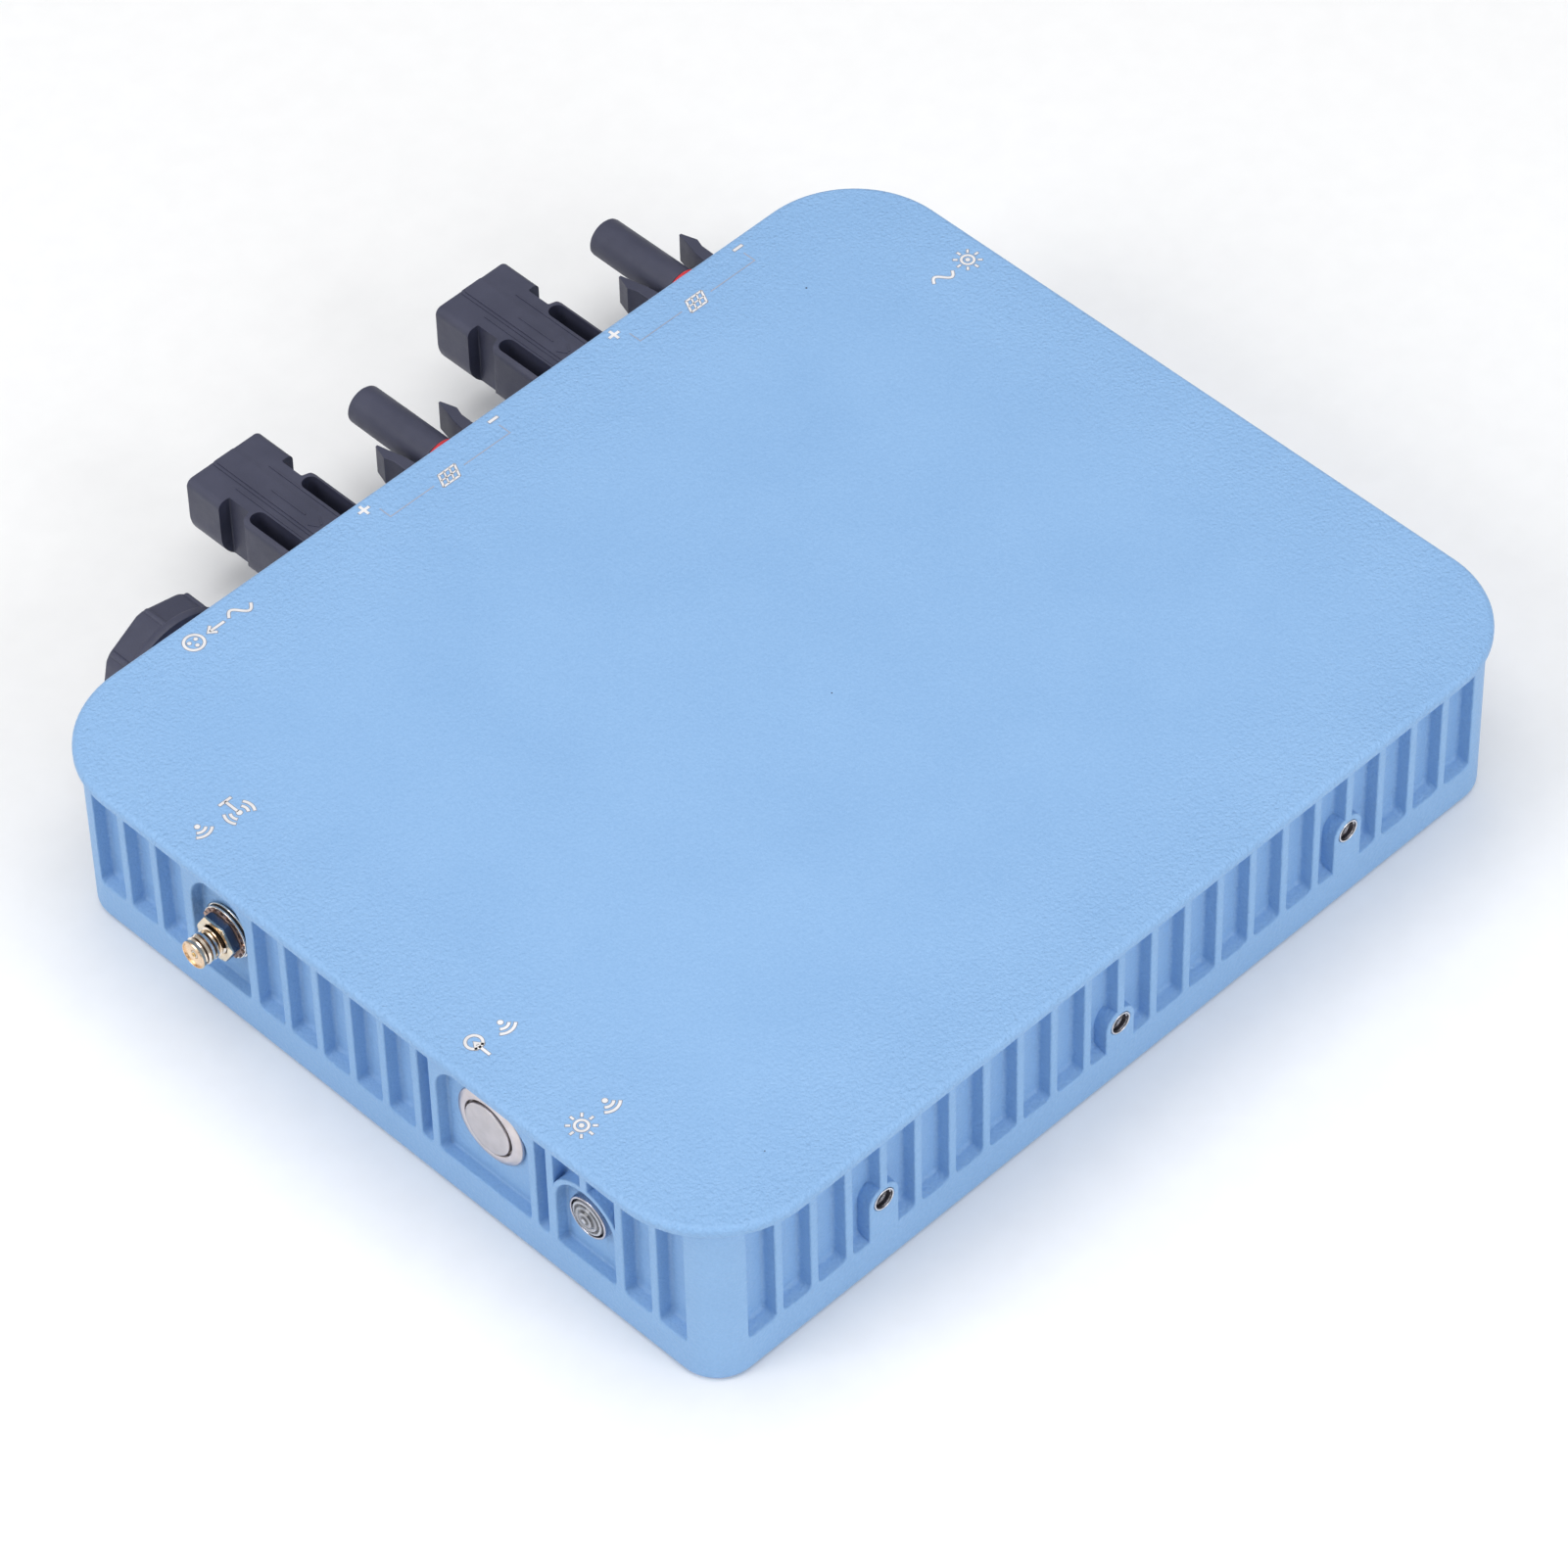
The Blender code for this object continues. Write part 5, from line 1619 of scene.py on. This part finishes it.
    def nut(self) -> None:
        """Builds the hexagon nut, its sides painted dark as their shade and dark reflection, and
        its chamfered face painted bright as a highlight.
        """
        corner = self.nut_flat / math.cos(math.pi / 6)
        low, high = self.nut_low, self.nut_high
        inner = self.barrel + 0.05 * MM
        sections: list[Section] = []
        for height, cut in (
            (low, 0.93), (low + 0.12 * MM, 0.96), (low + 0.35 * MM, 1.0), (high - 0.5 * MM, 1.0)
        ):
            sections.append((height, polygon_round(self.nut_flat, corner * cut, 6, 96)))
        face = high - 0.5 * MM
        sections += [(face, circle(inner, 96)), (low, circle(inner, 96))]
        nut = Shape().skin(sections, closed=True).build("antenna_nut", self.frame)
        # Painted shade: the nut's sides are coloured dark blue-grey for the shade and dark
        # reflection on what is one gold nut
        dark = Metal("nut_sides_painted_shade", (0.17, 0.19, 0.24), (0.12, 0.14, 0.18), (0.26, 0.40))
        dress(nut, dark, HOUSING, ["antenna_hex_nut"])
        rings: list[Section] = []
        for height, cut in (
            (face, 1.0), (high - 0.3 * MM, 0.99), (high - 0.1 * MM, 0.955), (high, 0.91)
        ):
            rings.append((height, polygon_round(self.nut_flat - 0.02 * MM, corner * cut, 6, 96)))
        rings += [
            (high, circle(inner + 0.35 * MM, 96)),
            (high - 0.25 * MM, circle(inner, 96)),
            (face, circle(inner, 96)),
        ]
        chamfer = Shape().skin(rings, closed=True).build("antenna_nut_chamfer", self.frame)
        # Painted highlight: the chamfered face is a pale gold to show it lit
        dress(
            chamfer,
            Metal("nut_chamfer_painted_highlight", (0.96, 0.82, 0.62), (0.84, 0.69, 0.50), (0.12, 0.24)),
            HOUSING,
        )


@dataclass
class PushButton:
    """The round steel push button; heights are from the recess wall."""

    recess: float = 2.9 * MM
    bezel: float = 8.75 * MM
    cap: float = 5.84 * MM
    stem: float = 7.9 * MM
    stem_depth: float = 15.0 * MM
    well: float = 7.2 * MM
    lip: float = 6.32 * MM

    def build(self) -> None:
        """Builds the bezel and the cap."""
        spot = Side.ANTENNA.spot("button_cap", self.recess)
        frame = Side.ANTENNA.frame(spot)
        warm = Metal(
            "bezel_steel",
            (0.72, 0.66, 0.66),
            (0.64, 0.58, 0.58),
            (0.30, 0.42),
            tuple(spot),
            groove=0.3 * MM,
        )
        ring = [
            (self.stem, -self.stem_depth),
            (self.stem, 0.1 * MM, 0.1 * MM),
            (self.bezel - 0.2 * MM, 0.1 * MM, 0.15 * MM),
            (self.bezel, 0.45 * MM, 0.2 * MM),
            (self.bezel - 0.15 * MM, 0.85 * MM, 0.4 * MM),
            (7.4 * MM, 1.4 * MM, 2.0 * MM),
            (6.5 * MM, 1.42 * MM, 0.1 * MM),
            (self.lip, 1.28 * MM, 0.08 * MM),
            (self.lip, 0.8 * MM, 0.1 * MM),
            (self.well, 0.8 * MM, 0.1 * MM),
            (self.well, -self.stem_depth),
        ]
        bezel = Shape().turned(ring, 96, closed=True).build("button_bezel_ring", frame)
        dress(bezel, warm, HOUSING, ["button_bezel"])
        knob = [
            (0.02 * MM, -1.4 * MM),
            (6.85 * MM, -1.4 * MM, 0.2 * MM),
            (6.85 * MM, 0.4 * MM, 0.1 * MM),
            (self.cap, 0.4 * MM, 0.1 * MM),
            (self.cap, 1.66 * MM, 0.16 * MM),
            (self.cap - 0.6 * MM, 1.72 * MM, 0.3 * MM),
            (0.02 * MM, 1.76 * MM),
        ]
        steel = Metal(
            "cap_steel",
            (0.66, 0.61, 0.61),
            (0.59, 0.55, 0.55),
            (0.34, 0.44),
            tuple(spot),
            groove=0.24 * MM,
        )
        cap = Shape().turned(knob, 96).build("button_cap_disc", frame)
        dress(cap, steel, "button_cap", ["button_cap"])


@dataclass
class Lamp:
    """A clear indicator lamp in its turned bezel; heights are from the recess wall."""

    prefix: str
    side: Side
    recess: float = 2.9 * MM
    rim: float = 4.95 * MM
    lens_steps: Steps = (
        (4.0, 1.3),
        (3.8, 2.3),
        (3.35, 2.45),
        (3.1, 1.95),
        (2.6, 2.75),
        (2.3, 2.3),
        (1.75, 3.0),
        (1.45, 2.6),
        (0.85, 3.15),
    )

    def build(self) -> None:
        """Builds the bezel and the lens."""
        spot = self.side.spot(f"{self.prefix}_lens", self.recess)
        frame = self.side.frame(spot)
        ring = [
            (3.9 * MM, -8.0 * MM),
            (3.9 * MM, 0.1 * MM, 0.1 * MM),
            (self.rim - 0.15 * MM, 0.1 * MM, 0.1 * MM),
            (self.rim, 0.5 * MM, 0.2 * MM),
            (self.rim - 0.05 * MM, 1.5 * MM, 0.4 * MM),
            (4.72 * MM, 2.15 * MM, 0.2 * MM),
            (4.45 * MM, 2.3 * MM, 0.12 * MM),
            (4.28 * MM, 2.15 * MM, 0.08 * MM),
            (4.25 * MM, -0.5 * MM, 0.1 * MM),
            (2.6 * MM, -0.5 * MM, 0.1 * MM),
            (2.6 * MM, -8.0 * MM),
        ]
        steel = Metal(
            f"{self.prefix}_steel",
            (0.58, 0.57, 0.62),
            (0.46, 0.46, 0.52),
            (0.16, 0.30),
            tuple(spot),
        )
        bezel = Shape().turned(ring, 72, closed=True).build(f"{self.prefix}_rim", frame)
        dress(bezel, steel, HOUSING, [f"{self.prefix}_bezel"])
        path: list[tuple[float, ...]] = [
            (0.02 * MM, -7.0 * MM),
            (2.3 * MM, -7.0 * MM),
            (2.3 * MM, -0.2 * MM),
            (4.0 * MM, -0.2 * MM),
        ]
        for radius, height in self.lens_steps:
            path.append((radius * MM, height * MM, 0.12 * MM))
        path.append((0.02 * MM, 3.22 * MM))
        # The lens colour carries painted rings of light and shade
        glass = ClearLens(f"{self.prefix}_clear", (0.74, 0.76, 0.84), tuple(spot))
        lens = Shape().turned(path, 72).build(f"{self.prefix}_stepped_lens", frame)
        dress(lens, glass, HOUSING, [f"{self.prefix}_lens"])


# Solar and AC connectors; heights are from the connector wall


COLLAR_STEPS: Steps = (
    (-13.0, 7.0), (0.3, 7.0), (0.3, 9.9), (0.5, 10.2), (5.2, 10.2), (5.6, 10.0), (5.8, 9.6)
)


def collar(shape_sections: list[Section], steps: int = 12) -> None:
    """Adds the threaded stem and the round collar of a panel connector to the sections."""
    count = 4 * (steps + 1)
    for height, radius in COLLAR_STEPS:
        shape_sections.append((height * MM, circle(radius * MM, count, 0.5)))


@dataclass
class PlusConnector:
    """The wide solar connector: head, finger scoops and latch body with two long windows."""

    number: int
    half_x: float = 9.9 * MM
    half_y: float = 8.55 * MM
    low_round: float = 7.4 * MM
    high_round: float = 1.6 * MM
    scoop: Steps = (
        (14.0, 27.0),
        (9.95, 27.0),
        (9.75, 28.2, 0.5),
        (9.0, 29.2, 0.6),
        (7.0, 29.8, 0.5),
        (7.0, 35.65, 0.3),
        (14.0, 35.75),
    )
    insets: Steps = (
        (6.4, 1.4), (6.6, 0.8), (7.0, 0.25), (7.6, 0.0), (44.9, 0.0), (45.2, 0.1), (45.4, 0.35)
    )
    mouth: Steps = ((45.4, 5.6), (45.0, 5.2), (12.0, 5.2))
    window_floor: float = 2.6 * MM

    def build(self) -> None:
        """Builds the housing."""
        frame = Side.CONNECTOR.frame(Side.CONNECTOR.spot(f"solar_plus_pin_{self.number}"))
        sections: list[Section] = []
        collar(sections)
        for height, inset in self.insets:
            half_x, half_y = self.half_x - inset * MM, self.half_y - inset * MM
            outline = rounded_box(
                -half_x, half_x, -half_y, half_y, self.low_round, self.high_round, 12
            )
            sections.append((height * MM, outline))
        count = len(sections[0][1])
        for height, radius in self.mouth:
            sections.append((height * MM, circle(radius * MM, count, 0.5)))
        housing = Shape().skin(sections).build(f"solar_plus_shell_{self.number}")
        combine(housing, self.hollows(), "DIFFERENCE")
        for part in self.relief():
            combine(housing, part, "UNION")
        housing.data.transform(frame)
        dress(housing, PLASTIC, HOUSING, [f"solar_plus_housing_{self.number}"])

    def upright(
        self, shape: Shape, outline: Outline, low: float, high: float, flare: float = 0.0
    ) -> None:
        """Adds a prism that stands along the wall's Y, from an outline in X and Z."""
        rings = []
        for height, grow in (
            (low, 0.0), (high - flare, 0.0), (high, flare)
        ) if flare else ((low, 0.0), (high, 0.0)):
            centre = Vector(
                (sum(u for u, _ in outline), sum(w for _, w in outline))
            ) / len(outline)
            ring = []
            for u, w in outline:
                arm = Vector((u, w)) - centre
                point = Vector((u, w)) + (arm.normalized() * grow if grow else Vector((0, 0)))
                ring.append(shape.bm.verts.new((point.x, height, point.y)))
            rings.append(ring)
        shape.join(rings)

    def hollows(self) -> bpy.types.Object:
        """Returns the finger scoops and the two windows of the latch body."""
        shape = Shape()
        for lean in (-1, 1):
            scoop = [(lean * u * MM, d * MM) for u, d in filleted(self.scoop, 6)]
            self.upright(shape, scoop, -12 * MM, 12 * MM)
            window = moved(
                centred_box(1.85 * MM, 9.6 * MM, 1.8 * MM, 8), lean * 6.9 * MM, 19.2 * MM
            )
            self.upright(shape, window, self.window_floor, self.half_y + 0.3 * MM, 0.3 * MM)
        return shape.build("plus_hollows")

    def relief(self) -> list[bpy.types.Object]:
        """Returns the raised band on top of the housing, then its ridge, then its edge lines and
        arrow.
        """
        top = self.half_y
        found = []
        for half, reach, rise in (
            (3.1 * MM, 17.9 * MM, 0.2 * MM), (2.4 * MM, 17.6 * MM, 0.42 * MM)
        ):
            band = Shape()
            self.upright(
                band,
                moved(centred_box(half, reach, 0.8 * MM, 5), 0.0, 27.2 * MM),
                top - MM,
                top + rise,
            )
            found.append(band.build("plus_band"))
        lines = Shape()
        for lean in (-1, 1):
            edge = moved(
                centred_box(0.14 * MM, 10.5 * MM, 0.12 * MM, 3), lean * 4.4 * MM, 26.0 * MM
            )
            self.upright(lines, edge, top - MM, top + 0.18 * MM)
            arrow = stroke([(lean * 1.5 * MM, 18.6 * MM), (lean * 0.3 * MM, 16.6 * MM)], 0.34 * MM)
            self.upright(lines, arrow, top - MM, top + 0.56 * MM)
        shaft = moved(centred_box(0.17 * MM, 5.0 * MM, 0.15 * MM, 3), 0.0, 26.0 * MM)
        self.upright(lines, shaft, top - MM, top + 0.56 * MM)
        return found + [lines.build("plus_lines")]


@dataclass
class MinusConnector:
    """The slender solar connector: a tube with a red seal between two latch arms."""

    number: int
    grip: Steps = (
        (6.4, 8.2, 7.0, 5.4),
        (6.8, 9.0, 7.8, 5.2),
        (7.4, 9.4, 8.2, 5.0),
        (15.6, 9.4, 8.2, 5.0),
        (16.2, 9.2, 8.0, 4.8),
        (16.5, 8.8, 7.6, 4.6),
    )
    tube: Steps = (
        (16.6, 5.0),
        (18.0, 4.95),
        (18.2, 4.8),
        (18.2, 3.9),
        (20.2, 3.9),
        (20.2, 4.25),
        (20.5, 4.42),
        (30.0, 4.40),
        (42.0, 4.34),
        (42.4, 4.25),
        (42.7, 3.95),
        (42.7, 3.2),
        (42.5, 3.0),
        (12.0, 3.0),
    )
    seal_radius: float = 4.5 * MM
    seal_wire: float = 0.62 * MM
    seal_height: float = 19.2 * MM
    arm_outline: Steps = (
        (-1.05, -0.8),
        (1.05, -0.8),
        (2.0, 1.4),
        (2.15, 5.5),
        (2.8, 7.6),
        (1.6, 11.3),
        (1.2, 11.3),
        (0.6, 8.7),
        (-0.45, 5.0),
    )
    arm_layers: Steps = (
        (-3.8, 0.25), (-3.72, 0.08), (-3.5, 0.0), (3.5, 0.0), (3.72, 0.08), (3.8, 0.25)
    )
    arm_middle: tuple[float, float] = (0.7, 5.0)
    arm_place: tuple[float, float] = (7.2, 17.8)

    def build(self) -> None:
        """Builds the housing, the seal and the two arms."""
        spot = Side.CONNECTOR.spot(f"solar_minus_contact_{self.number}")
        frame = Side.CONNECTOR.frame(spot)
        sections: list[Section] = []
        collar(sections)
        for height, half_x, half_y, radius in self.grip:
            sections.append((height * MM, centred_box(half_x * MM, half_y * MM, radius * MM, 12)))
        count = len(sections[0][1])
        for height, radius in self.tube:
            sections.append((height * MM, circle(radius * MM, count, 0.5)))
        housing = Shape().skin(sections).build(f"solar_minus_shell_{self.number}", frame)
        dress(housing, PLASTIC, HOUSING, [f"solar_minus_housing_{self.number}"])
        turns = [2 * math.pi * step / 16 for step in range(16)]
        profile = [
            (
                self.seal_radius + self.seal_wire * math.cos(turn),
                self.seal_height + self.seal_wire * math.sin(turn),
            )
            for turn in turns
        ]
        seal = Shape().skin([(h, circle(r, 56)) for r, h in profile], closed=True)
        dress(
            seal.build(f"solar_seal_{self.number}", frame),
            RED,
            HOUSING,
            [f"solar_minus_seal_{self.number}"],
        )
        for name, lean in (("left", 1), ("right", -1)):
            self.arm(name, lean, frame)

    def arm(self, name: str, lean: int, frame: Matrix) -> None:
        """Builds one barbed latch arm."""
        across, out = self.arm_place
        centre = Vector(self.arm_middle)
        shape = Shape()
        rings = []
        for height, inset in self.arm_layers:
            ring = []
            for corner in self.arm_outline:
                arm = Vector(corner) - centre
                point = Vector(corner) - arm.normalized() * inset
                place = (lean * (across + point.x) * MM, height * MM, (out + point.y) * MM)
                ring.append(shape.bm.verts.new(place))
            rings.append(ring)
        arm = shape.join(rings).build(f"solar_latch_{self.number}_{name}", frame)
        edge = arm.modifiers.new("edge", "BEVEL")
        edge.width = 0.18 * MM
        edge.segments = 2
        edge.limit_method = "ANGLE"
        settle_modifiers(arm)
        body = f"latch_{self.number}_{name}"
        dress(arm, PLASTIC, body, [f"latch_arm_{self.number}_{name}"], sharp=40.0)


@dataclass
class AcConnector:
    """The round AC socket: panel body with a threaded mouth, and its gripped coupling ring."""

    trees: Trees
    ridges: int = 8
    inner: float = 11.35 * MM
    grip_flat: float = 13.25
    grip_corner: float = 13.95
    grip_turn: float = -5.0
    ridge_place: float = 13.62 * MM
    stem_depth: float = 13.0 * MM

    def build(self) -> None:
        """Builds the panel body and the coupling ring."""
        self.frame = Side.CONNECTOR.frame(Side.CONNECTOR.spot("ac_contact_holder"))
        self.panel_body()
        self.coupling()

    def panel_body(self) -> None:
        """Builds the fixed body."""
        path = [
            (9.5 * MM, -self.stem_depth),
            (9.5 * MM, 0.3 * MM),
            (13.6 * MM, 0.3 * MM, 0.3 * MM),
            (13.6 * MM, 3.0 * MM, 0.5 * MM),
            (11.0 * MM, 3.4 * MM, 0.2 * MM),
            (11.0 * MM, 18.8 * MM, 0.5 * MM),
            (9.4 * MM, 19.2 * MM, 0.4 * MM),
            (9.4 * MM, 5.0 * MM, 0.3 * MM),
            (0.02 * MM, 5.0 * MM),
        ]
        flange = [(0.02 * MM, -self.stem_depth)] + path
        body = Shape().turned(flange, 96).build("ac_socket_body")
        notch = Shape()
        for degrees in (0, 90, 180, 270):
            turn = Matrix.Rotation(math.radians(degrees), 4, "Z")
            rings = []
            for height in (15.5 * MM, 19.6 * MM):
                outline = moved(centred_box(0.9 * MM, 1.5 * MM, 0.3 * MM, 3), 9.5 * MM, 0.0)
                rings.append(
                    [notch.bm.verts.new(turn @ Vector((x, y, height))) for x, y in outline]
                )
            notch.join(rings)
        combine(body, notch.build("ac_notches"), "DIFFERENCE")
        body.data.transform(self.frame)
        dress(body, PLASTIC, HOUSING, ["ac_panel_body"])

    def coupling(self) -> None:
        """Builds the coupling ring with its grip ridges."""
        steps = 128
        inner = self.inner

        def grip(shrink: float) -> Outline:
            """Returns the grip's eight-sided outline, shrunk."""
            flat, corner = (self.grip_flat - shrink) * MM, (self.grip_corner - shrink) * MM
            return polygon_round(flat, corner, 8, steps, start=math.radians(self.grip_turn))

        def plain(radius: float) -> Outline:
            """Returns a round outline."""
            return circle(radius * MM, steps)

        sections: list[Section] = [
            (4.0 * MM, plain(12.3)), (4.3 * MM, plain(12.6)), (12.2 * MM, plain(12.8)), (
                12.6 * MM, plain(13.4)
            ),
            (13.0 * MM, plain(14.4)), (13.3 * MM, plain(14.6)), (14.4 * MM, plain(14.6)), (
                14.8 * MM, plain(14.4)
            ),
            (15.0 * MM, grip(0.0)), (20.2 * MM, grip(0.0)), (20.7 * MM, grip(0.12)), (
                21.05 * MM, grip(0.45)
            ),
            (21.2 * MM, grip(0.9)), (21.2 * MM, plain(11.9)), (
                20.9 * MM, circle(inner, steps)
            ), (4.0 * MM, circle(inner, steps)),
        ]
        ring = Shape().skin(sections, closed=True).build("ac_coupling_grip")
        bar = [
            (0.02 * MM, 14.2 * MM),
            (0.75 * MM, 14.4 * MM, 0.3 * MM),
            (0.75 * MM, 20.4 * MM, 0.5 * MM),
            (0.02 * MM, 20.9 * MM),
        ]
        ridge = Shape().turned(bar, 16).build("ridge_source")
        self.trees.round_axis.apply(
            ring, PLASTIC, Source=ridge, Count=self.ridges, Radius=self.ridge_place
        )
        discard(ridge)
        turn = Matrix.Rotation(math.radians(self.grip_turn + 45.0), 4, "Z")
        ring.data.transform(self.frame @ turn)
        dress(ring, PLASTIC, "ac_coupling", ["ac_coupling_ring"])


@dataclass
class InsideParts:
    """The solids that stay as they are, each with its own finish."""

    def build(self, nodes: dict[str, bpy.types.Object]) -> None:
        """Dresses every solid that no piece stands for.

        Args:
            nodes: The frame's solids by name.
        """
        ferrite = Moulded(
            "ferrite_core",
            (0.045, 0.045, 0.050),
            (0.030, 0.030, 0.034),
            (0.45, 0.65),
            0.5 * MM,
            0.05 * MM,
        )
        sleeve = Moulded(
            "capacitor_sleeve",
            (0.028, 0.038, 0.080),
            (0.020, 0.028, 0.060),
            (0.20, 0.32),
            0.6 * MM,
        )
        relay = Moulded(
            "relay_case", (0.030, 0.11, 0.34), (0.022, 0.09, 0.29), (0.25, 0.38), 0.4 * MM
        )
        finishes: dict[str, FinishKind] = {
            "circuit_board": BoardMask(),
            "lid_gasket": BLACK,
            "button_switch_block": BLACK,
            "ac_contact_holder": BLACK,
            "transformer": ferrite,
            "bulk_capacitor": sleeve,
            "grid_relay": relay,
            "wireless_module": PLAIN_NICKEL,
            "board_screw": PLAIN_NICKEL,
            "button_nut": PLAIN_NICKEL,
            "solar_plus_pin": PLAIN_TIN,
            "solar_minus_contact": PLAIN_TIN,
            "ac_pin": PLAIN_TIN,
            "solar_plus_nut": PLASTIC,
            "solar_minus_nut": PLASTIC,
            "ac_lock_nut": PLASTIC,
        }
        for name, node in sorted(nodes.items()):
            if node.hide_render:
                continue
            finish = next(value for key, value in finishes.items() if name.startswith(key))
            node.data.materials.clear()
            node.data.materials.append(SHELF.take(finish))
            LOG.info("%s keeps its solid, in %s", name, finish.name)


@dataclass
class Studio:
    """Pale floor, soft lights and the camera."""

    eye: tuple[float, float, float] = (0.68260, 0.70939, 1.09678)
    right: tuple[float, float, float] = (-0.7075388, 0.7064517, -0.0177441)
    forward: tuple[float, float, float] = (-0.4661174, -0.4854130, -0.7396680)
    lens: float = 174.36
    top_power: float = 11.2
    key_power: float = 9.2
    side_power: float = 9.6
    sky_strength: float = 0.42

    def build(self) -> None:
        """Sets up everything round the object."""
        self.floor()
        self.sky()
        self.lamp("top_softbox", (0.05, 0.0, 1.5), 1.2, self.top_power)
        self.lamp("key_softbox", (1.3, -0.35, 1.0), 0.8, self.key_power)
        self.lamp("side_softbox", (-0.1, 1.5, 0.8), 0.8, self.side_power)
        self.camera()
        settings = bpy.context.scene.view_settings
        settings.view_transform = "Standard"
        settings.look = "None"

    def floor(self) -> None:
        """Builds the floor."""
        shape = Shape()
        shape.prism(centred_box(3.0, 3.0, 0.5, 8), -0.02, 0.0)
        floor = shape.build("studio_floor")
        paper = Moulded(
            "floor_paper",
            (0.93, 0.93, 0.93),
            (0.915, 0.915, 0.915),
            (0.7, 0.85),
            1.5 * MM,
            0.01 * MM,
        )
        floor.data.materials.append(paper.make())

    def sky(self) -> None:
        """Sets the even light from all round."""
        world = bpy.data.worlds.new("studio_world")
        world.use_nodes = True
        background = world.node_tree.nodes["Background"]
        background.inputs["Color"].default_value = (0.97, 0.98, 1.0, 1.0)
        background.inputs["Strength"].default_value = self.sky_strength
        bpy.context.scene.world = world

    def lamp(
        self, name: str, place: tuple[float, float, float], size: float, power: float
    ) -> None:
        """Adds a square softbox that faces the object."""
        data = bpy.data.lights.new(name, "AREA")
        data.size = size
        data.energy = power
        light = bpy.data.objects.new(name, data)
        light.location = place
        light.rotation_mode = "QUATERNION"
        light.rotation_quaternion = (-Vector(place)).to_track_quat("-Z", "Y")
        bpy.context.scene.collection.objects.link(light)

    def camera(self) -> None:
        """Sets the camera."""
        data = bpy.data.cameras.new("studio_camera")
        data.lens = self.lens
        data.sensor_width = 36.0
        data.clip_start = 0.05
        data.clip_end = 20.0
        camera = bpy.data.objects.new("studio_camera", data)
        right, forward = Vector(self.right).normalized(), Vector(self.forward).normalized()
        up = right.cross(forward)
        turn = Matrix((right, up, -forward)).transposed()
        camera.rotation_mode = "QUATERNION"
        camera.rotation_quaternion = Quaternion(turn.to_quaternion())
        camera.location = self.eye
        bpy.context.scene.collection.objects.link(camera)
        bpy.context.scene.camera = camera


def clear_start() -> None:
    """Removes what the new file holds."""
    for old in list(bpy.data.objects):
        bpy.data.objects.remove(old)


def main() -> None:
    """Builds every sub-assembly in order."""
    logging.basicConfig(level=logging.INFO, format="%(message)s")
    clear_start()
    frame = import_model()
    trees = Trees.grow()
    HousingTray(trees).build()
    Lid(trees).build()
    BracketThreads(trees).build()
    AntennaSocket(trees).build()
    PushButton().build()
    Lamp("wireless_lamp", Side.ANTENNA).build()
    Lamp("inverter_lamp", Side.LAMP).build()
    for number in (1, 2):
        PlusConnector(number).build()
        MinusConnector(number).build()
    AcConnector(trees).build()
    InsideParts().build(frame["nodes"])
    Studio().build()


if __name__ == "__main__":
    main()
